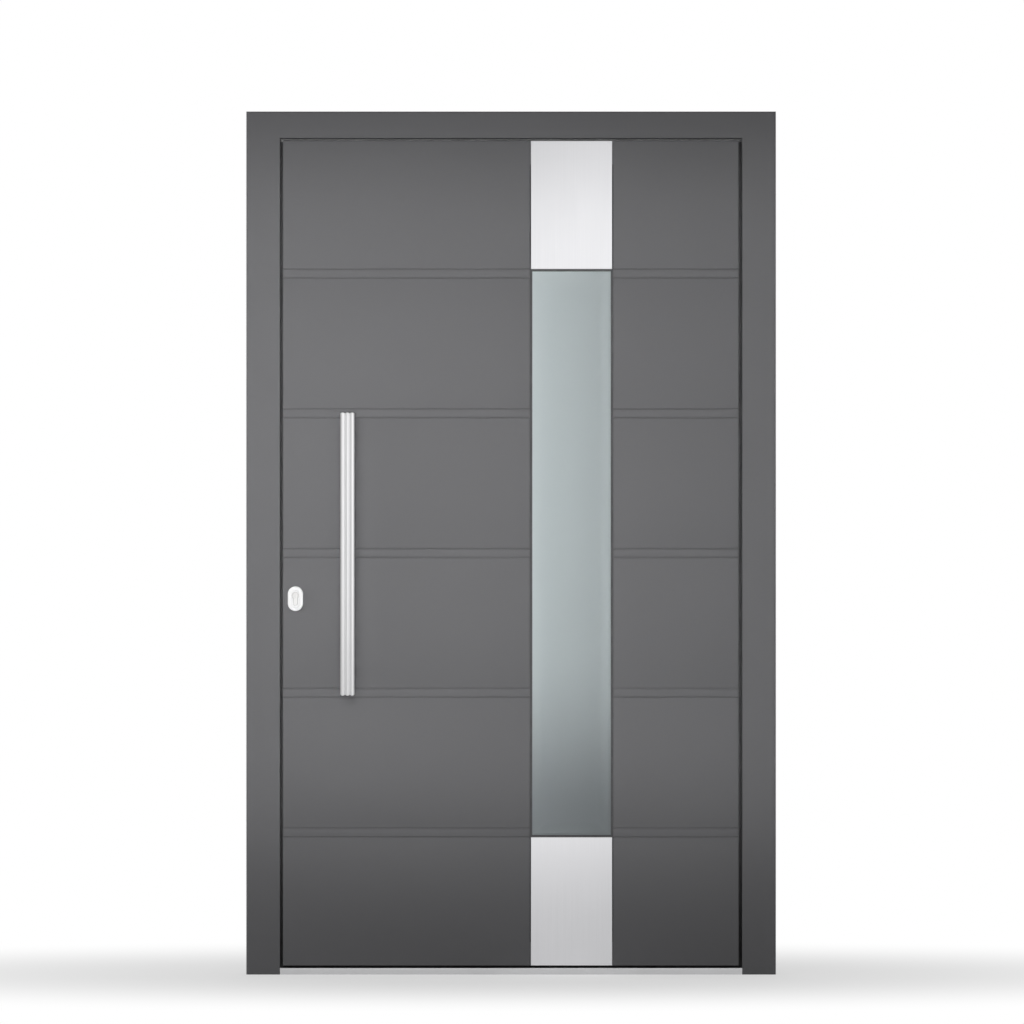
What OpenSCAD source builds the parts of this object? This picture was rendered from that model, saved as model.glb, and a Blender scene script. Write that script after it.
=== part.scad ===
// Aluminium front door: a flush panelled leaf with a glass strip, in a thermally broken frame.
// X runs to the right as seen from outside, Y runs into the house, Z runs up, in millimetres.
// The origin is on the floor, under the middle of the threshold.

/* [Door] */
// width over the frame
overall_w = 1350; // [1200:1:1500]
// height over the frame
overall_h = 2200; // [2100:1:2500]
// depth of the frame and of the leaf
door_t = 80; // [76:1:100]

/* [Frame] */
// width of a jamb as seen from outside
jamb_face = 86; // [70:1:120]
// height of the head as seen from outside
head_face = 68; // [60:1:120]
// how far the outer lip stands in front of the rebate
lip_overhang = 27; // [24:1:34]
// depth of the outer profiles, which form the lip
lip_t = 31; // [26:1:34]
// depth of the plastic bars between outer and inner profiles
frame_break_t = 17; // [10:1:20]
// how far those bars lie back from the profiles' sides
break_inset = 3; // [1:0.5:5]
// wall of the frame's profiles
frame_wall = 2.5; // [1.5:0.1:4]
// thicker wall in the rebate that carries strikes and anchors
rebate_wall = 6; // [5:0.5:10]
// radius of the frame's outer front edges
frame_r = 5; // [1:0.5:8]
// radius of the lip's front edge
lip_r = 1.5; // [0.5:0.5:3]
// radius of the anchor holes through the jambs
anchor_r = 3.75; // [2.5:0.25:6]
// height of the lowest anchor, and distance of the highest from the top
anchor_end = 180; // [120:1:230]

/* [Threshold] */
// height of the threshold's outer lip
sill_lip_h = 17; // [15:0.5:24]
// height of the threshold behind the lip
sill_floor_h = 5; // [4:0.5:8]
// radius of the lip's front edge
sill_r = 3; // [1:0.5:6]

/* [Running gaps] */
// gap beside the leaf on the lock side
gap_lock = 7.5; // [6:0.5:12]
// gap beside the leaf on the hinge side
gap_hinge = 9; // [6:0.5:12]
// gap over the leaf
gap_head = 7; // [6:0.5:12]
// gap between the threshold's lip and the leaf
gap_sill = 6; // [6:0.5:10]
// gap around the leaf's rear flange, at its sides and its top
rebate_gap = 7; // [6.5:0.5:9]
// gap between the threshold's floor and the leaf's rear flange
sill_gap = 6; // [5.5:0.5:8]
// space between the lip and the flange, which the stop gasket fills
seal_space = 5; // [3:0.5:7]
// gap between any gasket and the piece it seals against
seal_clear = 0.3; // [0.2:0.1:0.6]
// play of parts that are pushed into one another
fit_clear = 0.3; // [0.2:0.1:0.5]

/* [Gaskets] */
// width of the stop gasket
stop_w = 10; // [6:0.5:12]
// distance of the stop gasket from the lip's edge
stop_inset = 6; // [4:0.5:8]
// height of the stop gasket on the threshold
sill_stop_h = 5; // [3:0.5:6]
// width of the seal under the leaf
bottom_seal_t = 6; // [4:0.5:12]
// thickness of the seal behind the joint round the leaf
joint_seal_t = 3; // [1:0.5:4]
// distance of that seal from the lip's edge
joint_seal_clear = 1; // [0.5:0.5:3]

/* [Leaf] */
// thickness of the facing sheets and of the metal plates
skin_t = 3; // [2:0.1:4]
// radius of the sheets' edges
skin_r = 1.2; // [0.4:0.1:1.8]
// width of the profiles around the leaf, from the edge of its outer sheet
leaf_profile_w = 60; // [50:1:90]
// depth of the leaf's outer profiles
leaf_outer_t = 17; // [12:1:20]
// how far the plastic bars of the leaf lie back from its edge
leaf_break_inset = 2; // [0.5:0.5:5]
// wall of the leaf's profiles
leaf_wall = 2.5; // [1.5:0.1:4]
// number of groove pairs
groove_pairs = 5; // [3:2:5]
// distance from one pair to the next
groove_pitch = 356.4; // [300:0.1:370]
// distance between the two grooves of a pair
groove_spacing = 22.5; // [14:0.5:40]
// width of a groove
groove_w = 6; // [2:0.5:8]
// depth of a groove
groove_d = 2; // [0.6:0.1:2.2]

/* [Glass strip] */
// middle of the strip, from the middle of the door
strip_x = 154; // [60:1:200]
// width of the channel between the outer sheets
strip_w = 212; // [160:1:260]
// gap beside the metal plates
plate_gap = 2.2; // [1:0.1:5]
// width of the glazing gasket, as seen from outside
gasket_w = 6; // [2:0.5:12]
// how far the gasket lies behind the sheets' face
gasket_recess = 0.6; // [0.2:0.1:1.5]
// how far the glass lies behind the sheets' face
glass_recess = 0.5; // [0.2:0.1:1.5]
// thickness of the outer and of the inner pane
pane_t = 6; // [4:1:8]
// thickness of the middle pane
mid_pane_t = 4; // [3:1:6]
// distance between two panes
spacer_t = 14; // [10:1:16]
// width of a spacer bar
spacer_w = 6; // [5:1:12]
// distance of the spacer bars from the panes' edges
spacer_inset = 1; // [0.5:0.5:5]
// bevel on the outer pane's edges
pane_bevel = 0.8; // [0.2:0.1:2]
// width of the liner around the glass, inside the leaf
liner_w = 20; // [16:1:30]
// width of the glazing beads on the inside
bead_w = 8; // [6:1:24]
// thickness of the beads' cover on the inside face
bead_cover_t = 3; // [2:0.5:6]
// how far that cover laps over the inner sheets
bead_lap = 6; // [3:0.5:12]

/* [Pull bar] */
// distance of the bar's middle from the leaf's lock edge
bar_inset = 165.5; // [145:0.5:280]
// how far the bar's middle lies below the leaf's middle
bar_drop = 2; // [0:1:120]
// length of the bar
bar_l = 720; // [400:1:1200]
// radius of each of its three flutes
flute_r = 8; // [6.5:0.25:9]
// distance from one flute to the next
flute_pitch = 12; // [8:0.1:12.5]
// depth of the bar's flat back, behind the middles of the flutes
bar_back = 7.5; // [6:0.5:14]
// room for the fingers between leaf and bar
finger_gap = 45; // [35:1:60]
// radius of the two posts
post_r = 10; // [7:0.5:12]
// distance of the posts from the bar's ends
post_inset = 60; // [30:1:120]
// radius of the posts' feet
post_foot_r = 14; // [12:0.5:16]
// thickness of the posts' feet
post_foot_t = 3; // [2:0.5:6]

/* [Lock] */
// height of the key cylinder above the floor
cylinder_z = 958; // [900:1:1050]
// distance of the lock's axis from the edge of the outer sheet
backset = 32; // [28:1:40]
// radius of the round part of the cylinder
cylinder_r = 8.5; // [8:0.5:9]
// width of the flat part of the cylinder
cylinder_web = 10; // [9:0.5:11]
// height of the cylinder
cylinder_h = 33; // [30:0.5:35]
// width of the key slot
key_slot_w = 2.4; // [1.5:0.1:3]
// height of the key slot
key_slot_h = 9; // [7:0.5:11]
// depth of the key slot
key_slot_d = 24; // [10:1:30]
// width of the outer escutcheon
escutcheon_w = 39; // [30:0.5:50]
// height of the outer escutcheon
escutcheon_h = 63; // [50:0.5:80]
// thickness of the outer escutcheon
escutcheon_t = 10; // [6:0.5:14]
// radius of the escutcheon's front edge
escutcheon_edge = 2; // [0.5:0.5:3]
// distance from the cylinder up to the lever
lever_rise = 92; // [72:1:100]
// width of the inner plate
backplate_w = 32; // [26:1:40]
// height of the inner plate
backplate_h = 240; // [200:1:280]
// thickness of the inner plate
backplate_t = 8; // [6:0.5:12]
// radius of the lever's neck and grip
lever_r = 9; // [7:0.5:12]
// reach of the lever from the plate to its middle line
lever_reach = 48; // [40:1:70]
// length of the lever's grip
lever_l = 125; // [100:1:150]
// distance of the lock's middle plane from the inside face
lock_depth = 18; // [16:1:20]
// width of the faceplate on the leaf's edge
faceplate_w = 20; // [16:1:24]
// length of the faceplate
faceplate_l = 1750; // [1500:1:1850]
// thickness of the faceplate and of the strikes
plate_t = 3; // [2:0.5:4]
// width of the bolts
bolt_w = 12; // [10:0.5:13]
// length of each bolt inside the leaf
bolt_l = 25; // [15:1:30]
// height of the latch
latch_h = 32; // [20:1:40]
// height of the latch's middle above the cylinder
latch_rise = 117; // [90:1:130]
// height of the dead bolt
deadbolt_h = 44; // [30:1:60]
// height of the dead bolt's middle below the cylinder
deadbolt_drop = 52; // [40:1:70]
// distance of the upper and lower hook bolts from the cylinder
hook_spread = 700; // [500:1:760]
// width of a strike plate
strike_w = 22; // [18:1:26]
// how far a strike reaches past its slots
strike_end = 30; // [20:1:40]
// how much longer a strike's slot is than its bolt
slot_play = 6; // [2:0.5:10]

/* [Hinges] */
// number of hinges
hinge_count = 3; // [2:1:4]
// distance of the end hinges from the ends of the outer sheet
hinge_end = 250; // [150:1:350]
// radius of the barrel
barrel_r = 10; // [8:0.5:12]
// radius of the pin
pin_r = 5; // [4:0.5:6]
// play between pin and barrel, all round
pin_clear = 0.05; // [0.02:0.01:0.1]
// space between the barrel and the faces behind it
barrel_stand = 4; // [3:0.5:6]
// height of the barrel's middle part, which rides with the leaf
knuckle_mid = 50; // [30:1:80]
// height of each outer part, which stays on the frame
knuckle_end = 30; // [20:1:50]
// gap between two parts of the barrel
knuckle_gap = 0.5; // [0.2:0.1:1]
// how far the flaps reach from the pin's axis
flap_w = 46; // [36:1:50]
// height of the pin's caps
pin_cap_h = 4; // [2:0.5:8]

/* [Hidden] */
$fn = 96;
eps = 1; // what a cut runs past the piece it is made in

// depths along Y
y_out = -door_t / 2;
y_in = door_t / 2;
y_lip = y_out + lip_t;
y_frame_inner = y_lip + frame_break_t;
y_flange = y_lip + seal_space;
y_skin_out = y_out + skin_t;
y_skin_in = y_in - skin_t;
y_leaf_break = y_skin_out + leaf_outer_t;
y_lock = y_in - lock_depth;
y_anchor = (y_frame_inner + y_in) / 2;

// frame, seen from outside
frame_x = overall_w / 2;
lip_x = frame_x - jamb_face;
lip_z = overall_h - head_face;
rebate_x = lip_x + lip_overhang;
rebate_z = lip_z + lip_overhang;

// leaf, seen from outside
leaf_x0 = -lip_x + gap_lock;
leaf_x1 = lip_x - gap_hinge;
leaf_z0 = sill_lip_h + gap_sill;
leaf_z1 = lip_z - gap_head;
flange_x = rebate_x - rebate_gap;
flange_z0 = sill_floor_h + sill_gap;
flange_z1 = rebate_z - rebate_gap;
core_x0 = leaf_x0 + leaf_profile_w;
core_x1 = leaf_x1 - leaf_profile_w;
core_z0 = leaf_z0 + leaf_profile_w;
core_z1 = leaf_z1 - leaf_profile_w;
leaf_mid_z = (leaf_z0 + leaf_z1) / 2;

// glass strip
strip_x0 = strip_x - strip_w / 2;
strip_x1 = strip_x + strip_w / 2;
opening_h = (groove_pairs - 1) * groove_pitch + groove_spacing;
opening_z0 = leaf_mid_z - opening_h / 2;
opening_z1 = leaf_mid_z + opening_h / 2;
pane_w = strip_w - 2 * gasket_w;
pane_h = opening_h - 2 * gasket_w;
y_pane = y_out + glass_recess;
y_mid_pane = y_pane + pane_t + spacer_t;
y_inner_pane = y_mid_pane + mid_pane_t + spacer_t;
y_bead = y_inner_pane + pane_t + fit_clear;
liner_in = pane_w / 2 + fit_clear;
liner_out = liner_in + liner_w;
liner_z = pane_h / 2 + fit_clear + liner_w;

// pull bar
bar_x = leaf_x0 + bar_inset;
bar_z = leaf_mid_z - bar_drop;
post_z = bar_l / 2 - post_inset;
y_bar_back = y_out - finger_gap;
y_flutes = y_bar_back - bar_back;
flute_meet = sqrt(flute_r * flute_r - flute_pitch * flute_pitch / 4);
bar_half_w = 1.5 * flute_pitch;

// lock
lock_x = leaf_x0 + backset;
cylinder_drop = cylinder_h / 2 - cylinder_r;
bolts = [
    [cylinder_z + latch_rise, latch_h],
    [cylinder_z - deadbolt_drop, deadbolt_h],
    [cylinder_z + hook_spread, deadbolt_h],
    [cylinder_z - hook_spread, deadbolt_h],
];
strikes = [
    [bolts[1][0] - deadbolt_h / 2 - strike_end, bolts[0][0] + latch_h / 2 + strike_end],
    for (i = [2, 3])
        [bolts[i][0] - deadbolt_h / 2 - strike_end, bolts[i][0] + deadbolt_h / 2 + strike_end],
];

// hinges
hinge_x = (flange_x + rebate_x) / 2;
hinge_y = y_in + barrel_stand + barrel_r;
hinge_z = [for (i = [0 : hinge_count - 1])
    leaf_z0 + hinge_end + i * (leaf_z1 - leaf_z0 - 2 * hinge_end) / (hinge_count - 1)];
barrel_h = knuckle_mid + 2 * knuckle_end + 2 * knuckle_gap;

jamb_lock_outer();
jamb_lock_inner();
jamb_hinge_outer();
jamb_hinge_inner();
head_outer();
head_inner();
frame_thermal_bars();
threshold();
stop_gasket();
strike_plates();
hinge_frame_parts();
hinge_pins();
sheet_outer_lock();
sheet_outer_hinge();
sheet_inner_lock();
sheet_inner_hinge();
plate_outer_top();
plate_outer_bottom();
plates_inner();
stile_lock_outer();
stile_lock_inner();
stile_hinge_outer();
stile_hinge_inner();
rail_top_outer();
rail_top_inner();
rail_bottom_outer();
rail_bottom_inner();
leaf_thermal_bars();
insulation_core();
glazing_liner();
pane_outer();
panes_inner();
glass_spacers();
glazing_gasket();
glazing_beads();
pull_bar();
pull_bar_posts();
escutcheon_outer();
lock_cylinder();
lever_backplate();
lever();
lock_faceplate();
lock_bolts();
leaf_seals();
hinge_leaf_parts();

// ---- shapes used by several parts ----

// a box between two opposite corners
module box(a, b) translate(a) cube(b - a);

// what is taken off a square corner at the origin to round it
module corner_cut(r) {
    difference() {
        translate([-eps, -eps]) square(r + eps);
        translate([r, r]) circle(r);
    }
}

// a section lying in X and Y, carried up from z0 to z1
module upright(z0, z1) translate([0, 0, z0]) linear_extrude(z1 - z0) children();

// a section drawn with its x upwards and its y along Y, carried along X from x0 to x1
module level(x0, x1) {
    translate([x0, 0, 0]) rotate([0, -90, 0]) mirror([0, 0, 1]) linear_extrude(x1 - x0) children();
}

// an outline seen from outside, in X and Z, carried along Y from y0 to y1
module through(y0, y1) translate([0, y1, 0]) rotate([90, 0, 0]) linear_extrude(y1 - y0) children();

// a rectangle between two opposite corners
module rect(a, b) translate(a) square(b - a);

// ---- frame ----

// outline of the lock jamb up to its mitre: face is its width, top that of the head
module jamb_outline(face, top) {
    polygon([[-frame_x, 0], [-frame_x, overall_h], [face - frame_x, overall_h - top], [face - frame_x, 0]]);
}

// outline of the head between its two mitres
module head_outline(face, top) {
    polygon([[-frame_x, overall_h], [frame_x, overall_h],
        [frame_x - face, overall_h - top], [face - frame_x, overall_h - top]]);
}

// section of an outer profile, its outer edge at x = 0 and its front face at y = 0
module lip_section(face) {
    difference() {
        square([face, lip_t]);
        corner_cut(frame_r);
        translate([face, 0]) mirror([1, 0]) corner_cut(lip_r);
        rect([frame_wall, frame_wall], [face - frame_wall, lip_t - frame_wall]);
    }
}

// section of an inner profile: its last wall is the thick one, in the rebate
module body_section(body) {
    difference() {
        rect([0, y_frame_inner - y_out], [body, door_t]);
        rect([frame_wall, y_frame_inner - y_out + frame_wall], [body - rebate_wall, door_t - frame_wall]);
    }
}

module outer_jamb() {
    intersection() {
        upright(0, overall_h) translate([-frame_x, y_out]) lip_section(jamb_face);
        through(y_out - eps, y_lip + eps) jamb_outline(jamb_face, head_face);
    }
}

module inner_jamb() {
    body = jamb_face - lip_overhang;
    difference() {
        intersection() {
            upright(0, overall_h) translate([-frame_x, y_out]) body_section(body);
            through(y_out - eps, y_in + eps) jamb_outline(body, head_face - lip_overhang);
        }
        for (z = anchor_heights()) anchor_hole(z);
    }
}

// four anchors in each jamb, evenly spaced
function anchor_heights() = [for (i = [0 : 3]) anchor_end + i * (overall_h - 2 * anchor_end) / 3];

module anchor_hole(z) {
    translate([-frame_x - eps, y_anchor, z]) rotate([0, 90, 0]) cylinder(r = anchor_r, h = jamb_face);
}

module jamb_lock_outer() color("#6f7073") outer_jamb();

module jamb_hinge_outer() color("#6f7073") mirror([1, 0, 0]) outer_jamb();

module jamb_hinge_inner() color("#6f7073") mirror([1, 0, 0]) inner_jamb();

// the lock jamb is recessed for its strikes, and pierced where the bolts go in
module jamb_lock_inner() {
    color("#6f7073") difference() {
        inner_jamb();
        strike_boxes(eps);
        for (b = bolts) bolt_slot(b, rebate_wall + eps);
    }
}

// the strikes' places in the lock jamb; out is how far they are carried into the opening
module strike_boxes(out) {
    for (s = strikes)
        box([-rebate_x - plate_t, y_lock - strike_w / 2, s[0]],
            [out - rebate_x, y_lock + strike_w / 2, s[1]]);
}

// the hole in the lock jamb that a bolt goes into
module bolt_slot(bolt, depth) {
    half_h = (bolt[1] + slot_play) / 2;
    half_w = bolt_w / 2 + fit_clear;
    box([-rebate_x - depth, y_lock - half_w, bolt[0] - half_h],
        [eps - rebate_x, y_lock + half_w, bolt[0] + half_h]);
}

module head_outer() {
    color("#6f7073") intersection() {
        level(-frame_x, frame_x)
            translate([overall_h, y_out]) mirror([1, 0]) lip_section(head_face);
        through(y_out - eps, y_lip + eps) head_outline(jamb_face, head_face);
    }
}

module head_inner() {
    body = head_face - lip_overhang;
    color("#6f7073") intersection() {
        level(-frame_x, frame_x) translate([overall_h, y_out]) mirror([1, 0]) body_section(body);
        through(y_out - eps, y_in + eps) head_outline(jamb_face - lip_overhang, body);
    }
}

// plastic bars that part the outer from the inner profiles
module frame_thermal_bars() {
    x0 = frame_x - break_inset;
    x1 = rebate_x + break_inset;
    z0 = rebate_z + break_inset;
    color("#1d1e20") {
        for (side = [0, 1])
            mirror([side, 0, 0]) box([-x0, y_lip, 0], [-x1, y_frame_inner, z0 - fit_clear]);
        box([-x0, y_lip, z0], [x0, y_frame_inner, overall_h - break_inset]);
    }
}

module threshold() {
    color("#b4b5b6") {
        level(-lip_x, lip_x) difference() {
            rect([0, y_out], [sill_lip_h, y_lip]);
            translate([sill_lip_h, y_out]) mirror([1, 0]) corner_cut(sill_r);
        }
        box([-rebate_x, y_lip, 0], [rebate_x, y_in, sill_floor_h]);
    }
}

// one gasket runs round behind the lip and the threshold's lip
module stop_gasket() {
    x_in = lip_x + stop_inset;
    z_in = lip_z + stop_inset;
    z_sill = sill_lip_h - fit_clear;
    color("#525253") through(y_lip, y_flange - seal_clear) difference() {
        rect([-x_in - stop_w, z_sill - sill_stop_h], [x_in + stop_w, z_in + stop_w]);
        rect([-x_in, z_sill], [x_in, z_in]);
    }
}

module strike_plates() {
    color("#b9bbbd") difference() {
        strike_boxes(0);
        for (b = bolts) bolt_slot(b, plate_t + eps);
    }
}

// ---- hinges ----

// one part of a hinge: its share of the barrel, the block behind it and its flap on the face
module hinge_part(side, z0, z1) {
    block_w = side > 0 ? rebate_x - hinge_x : hinge_x - flange_x;
    difference() {
        upright(z0, z1) translate([hinge_x, 0]) mirror([side > 0 ? 0 : 1, 0]) {
            translate([0, hinge_y]) circle(barrel_r);
            rect([block_w, y_in], [barrel_r, hinge_y]);
            rect([block_w, y_in], [flap_w, y_in + barrel_stand]);
        }
        translate([hinge_x, hinge_y, z0 - eps]) cylinder(r = pin_r + pin_clear, h = z1 - z0 + 2 * eps);
    }
}

module hinge_frame_parts() {
    color("#a9abad") for (z = hinge_z) {
        hinge_part(1, z - barrel_h / 2, z - barrel_h / 2 + knuckle_end);
        hinge_part(1, z + barrel_h / 2 - knuckle_end, z + barrel_h / 2);
    }
}

module hinge_leaf_parts() {
    color("#a9abad") for (z = hinge_z) hinge_part(-1, z - knuckle_mid / 2, z + knuckle_mid / 2);
}

module hinge_pins() {
    color("#c4c6c8") for (z = hinge_z, end = [0, 1])
        translate([hinge_x, hinge_y, z]) mirror([0, 0, end]) {
            cylinder(r = pin_r, h = barrel_h / 2 + eps);
            translate([0, 0, barrel_h / 2]) cylinder(r = barrel_r, h = pin_cap_h);
        }
}

// ---- leaf: sheets and plates ----

// a flat sheet between two corners, its front edges rounded; the front is at y = 0
module sheet(a, b) {
    intersection() {
        upright(a[1], b[1]) difference() {
            rect([a[0], 0], [b[0], skin_t]);
            translate([a[0], 0]) corner_cut(skin_r);
            translate([b[0], 0]) mirror([1, 0]) corner_cut(skin_r);
        }
        level(a[0], b[0]) difference() {
            rect([a[1], 0], [b[1], skin_t]);
            translate([a[1], 0]) corner_cut(skin_r);
            translate([b[1], 0]) mirror([1, 0]) corner_cut(skin_r);
        }
    }
}

// the grooves of all pairs, cut into a sheet's front from x0 to x1
module grooves(x0, x1) {
    half = groove_w / 2;
    for (i = [0 : groove_pairs - 1], side = [-1, 1]) {
        z = leaf_mid_z + (i - (groove_pairs - 1) / 2) * groove_pitch + side * groove_spacing / 2;
        level(x0 - eps, x1 + eps) translate([z, 0])
            polygon([[-half, 0], [-half, -eps], [half, -eps], [half, 0], [0, groove_d]]);
    }
}

module grooved_sheet(a, b) {
    difference() {
        sheet(a, b);
        grooves(a[0], b[0]);
    }
}

// puts a sheet that faces outside on the outside, or turned round on the inside
module outside_face() translate([0, y_out, 0]) children();
module inside_face() translate([0, y_in, 0]) mirror([0, 1, 0]) children();

// the outline of the key cylinder, grown by some play
module cylinder_outline(play) {
    translate([lock_x, cylinder_z + cylinder_drop]) {
        circle(cylinder_r + play);
        rect([-cylinder_web / 2 - play, -cylinder_h + cylinder_r - play], [cylinder_web / 2 + play, 0]);
    }
}

module cylinder_hole() {
    through(y_out - escutcheon_t - eps, y_in + backplate_t + eps) cylinder_outline(fit_clear);
}

module sheet_outer_lock() {
    color("#717275") difference() {
        outside_face() grooved_sheet([leaf_x0, leaf_z0], [strip_x0, leaf_z1]);
        cylinder_hole();
    }
}

module sheet_outer_hinge() {
    color("#717275") outside_face() grooved_sheet([strip_x1, leaf_z0], [leaf_x1, leaf_z1]);
}

module sheet_inner_lock() {
    color("#717275") difference() {
        inside_face() grooved_sheet([-flange_x, flange_z0], [strip_x0, flange_z1]);
        cylinder_hole();
    }
}

module sheet_inner_hinge() {
    color("#717275") inside_face() grooved_sheet([strip_x1, flange_z0], [flange_x, flange_z1]);
}

// a metal plate over or under the glass, from z0 to z1
module strip_plate(z0, z1) sheet([strip_x0 + plate_gap, z0], [strip_x1 - plate_gap, z1]);

module plate_outer_top() color("#dfe0e3") outside_face() strip_plate(opening_z1, leaf_z1);

module plate_outer_bottom() color("#dfe0e3") outside_face() strip_plate(leaf_z0, opening_z0);

module plates_inner() {
    color("#dfe0e3") inside_face() {
        strip_plate(opening_z1, flange_z1);
        strip_plate(flange_z0, opening_z0);
    }
}

// ---- leaf: profiles and core ----

// a hollow bar between two corners: first_wall is the wall on its -X side
module upright_tube(a, b, first_wall) {
    difference() {
        box(a, b);
        box(a + [first_wall, leaf_wall, -eps], b + [-leaf_wall, -leaf_wall, eps]);
    }
}

module level_tube(a, b) {
    difference() {
        box(a, b);
        box(a + [-eps, leaf_wall, leaf_wall], b + [eps, -leaf_wall, -leaf_wall]);
    }
}

// outlines of the leaf's profiles, mitred from the outer corners to the core's corners
module stile_lock_outline(x, z0, z1) polygon([[x, z0], [core_x0, core_z0], [core_x0, core_z1], [x, z1]]);
module stile_hinge_outline(x, z0, z1) polygon([[x, z0], [core_x1, core_z0], [core_x1, core_z1], [x, z1]]);
module rail_outline(x0, x1, z, core_z) polygon([[x0, z], [x1, z], [core_x1, core_z], [core_x0, core_z]]);

module outer_layer() through(y_out, y_leaf_break + eps) children();
module inner_layer() through(y_flange - eps, y_in) children();

module stile_lock_outer() {
    color("#6f7073") difference() {
        intersection() {
            upright_tube([leaf_x0, y_skin_out, leaf_z0], [core_x0, y_leaf_break, leaf_z1], leaf_wall);
            outer_layer() stile_lock_outline(leaf_x0, leaf_z0, leaf_z1);
        }
        cylinder_hole();
    }
}

module stile_hinge_outer() {
    color("#6f7073") intersection() {
        upright_tube([core_x1, y_skin_out, leaf_z0], [leaf_x1, y_leaf_break, leaf_z1], leaf_wall);
        outer_layer() stile_hinge_outline(leaf_x1, leaf_z0, leaf_z1);
    }
}

module rail_top_outer() {
    color("#6f7073") intersection() {
        level_tube([leaf_x0, y_skin_out, core_z1], [leaf_x1, y_leaf_break, leaf_z1]);
        outer_layer() rail_outline(leaf_x0, leaf_x1, leaf_z1, core_z1);
    }
}

module rail_bottom_outer() {
    color("#6f7073") intersection() {
        level_tube([leaf_x0, y_skin_out, leaf_z0], [leaf_x1, y_leaf_break, core_z0]);
        outer_layer() rail_outline(leaf_x0, leaf_x1, leaf_z0, core_z0);
    }
}

// the lock stile carries the faceplate in a recess, and the bolts in slots
module stile_lock_inner() {
    color("#6f7073") difference() {
        intersection() {
            upright_tube([-flange_x, y_flange, flange_z0], [core_x0, y_skin_in, flange_z1], rebate_wall);
            inner_layer() stile_lock_outline(-flange_x, flange_z0, flange_z1);
        }
        cylinder_hole();
        faceplate_box(eps);
        for (b = bolts) bolt_hole(b, rebate_wall + eps);
    }
}

module stile_hinge_inner() {
    color("#6f7073") intersection() {
        upright_tube([core_x1, y_flange, flange_z0], [flange_x, y_skin_in, flange_z1], leaf_wall);
        inner_layer() stile_hinge_outline(flange_x, flange_z0, flange_z1);
    }
}

module rail_top_inner() {
    color("#6f7073") intersection() {
        level_tube([-flange_x, y_flange, core_z1], [flange_x, y_skin_in, flange_z1]);
        inner_layer() rail_outline(-flange_x, flange_x, flange_z1, core_z1);
    }
}

module rail_bottom_inner() {
    color("#6f7073") intersection() {
        level_tube([-flange_x, y_flange, flange_z0], [flange_x, y_skin_in, core_z0]);
        inner_layer() rail_outline(-flange_x, flange_x, flange_z0, core_z0);
    }
}

// plastic bars that part the leaf's outer from its inner profiles
module leaf_thermal_bars() {
    i = leaf_break_inset;
    color("#1d1e20") difference() {
        union() {
            box([leaf_x0 + i, y_leaf_break, leaf_z0 + i], [core_x0, y_flange, leaf_z1 - i]);
            box([core_x1, y_leaf_break, leaf_z0 + i], [leaf_x1 - i, y_flange, leaf_z1 - i]);
            for (z = [[leaf_z0 + i, core_z0], [core_z1, leaf_z1 - i]])
                box([core_x0 + fit_clear, y_leaf_break, z[0]], [core_x1 - fit_clear, y_flange, z[1]]);
        }
        cylinder_hole();
    }
}

// foam blocks beside, over and under the glazing
module insulation_core() {
    x0 = strip_x - liner_out;
    x1 = strip_x + liner_out;
    color("#d9cfa8") {
        box([core_x0, y_skin_out, core_z0], [x0, y_skin_in, core_z1]);
        box([x1, y_skin_out, core_z0], [core_x1, y_skin_in, core_z1]);
        box([x0 + fit_clear, y_skin_out, core_z0], [x1 - fit_clear, y_skin_in, leaf_mid_z - liner_z]);
        box([x0 + fit_clear, y_skin_out, leaf_mid_z + liner_z], [x1 - fit_clear, y_skin_in, core_z1]);
    }
}

// ---- leaf: glazing ----

// the four bars of a frame round the glass, upright ones full length and level ones between them
module four_bars(half_w, half_h, bar, y0, y1) {
    for (side = [-1, 1]) {
        x = strip_x + side * (half_w - bar / 2);
        z = leaf_mid_z + side * (half_h - bar / 2);
        box([x - bar / 2, y0, leaf_mid_z - half_h], [x + bar / 2, y1, leaf_mid_z + half_h]);
        box([strip_x - half_w + bar + fit_clear, y0, z - bar / 2],
            [strip_x + half_w - bar - fit_clear, y1, z + bar / 2]);
    }
}

module glazing_liner() color("#2a2b2d") four_bars(liner_out, liner_z, liner_w, y_skin_out, y_skin_in);

// section of the outer pane, bevelled at both ends of its front
module pane_section(half) {
    b = pane_bevel;
    polygon([[b - half, 0], [half - b, 0], [half, b], [half, pane_t], [-half, pane_t], [-half, b]]);
}

module pane_outer() {
    color("#b0babb") translate([strip_x, y_pane, leaf_mid_z]) intersection() {
        upright(-pane_h / 2, pane_h / 2) pane_section(pane_w / 2);
        level(-pane_w / 2, pane_w / 2) pane_section(pane_h / 2);
    }
}

// the middle and the inner pane
module panes_inner() {
    color("#c5d0cf") for (pane = [[y_mid_pane, mid_pane_t], [y_inner_pane, pane_t]])
        translate([strip_x - pane_w / 2, pane[0], leaf_mid_z - pane_h / 2]) cube([pane_w, pane[1], pane_h]);
}

// one closed spacer frame in each of the two gaps between the panes
module glass_spacers() {
    x = pane_w / 2 - spacer_inset;
    z = pane_h / 2 - spacer_inset;
    color("#cfd0d1") for (y = [y_mid_pane - spacer_t, y_inner_pane - spacer_t])
        through(y, y + spacer_t) translate([strip_x, leaf_mid_z]) difference() {
            rect([-x, -z], [x, z]);
            rect([spacer_w - x, spacer_w - z], [x - spacer_w, z - spacer_w]);
        }
}

module glazing_gasket() {
    color("#525253") through(y_out + gasket_recess, y_skin_out) difference() {
        rect([strip_x0, opening_z0], [strip_x1, opening_z1]);
        translate([strip_x - pane_w / 2, leaf_mid_z - pane_h / 2]) square([pane_w, pane_h]);
    }
}

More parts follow.
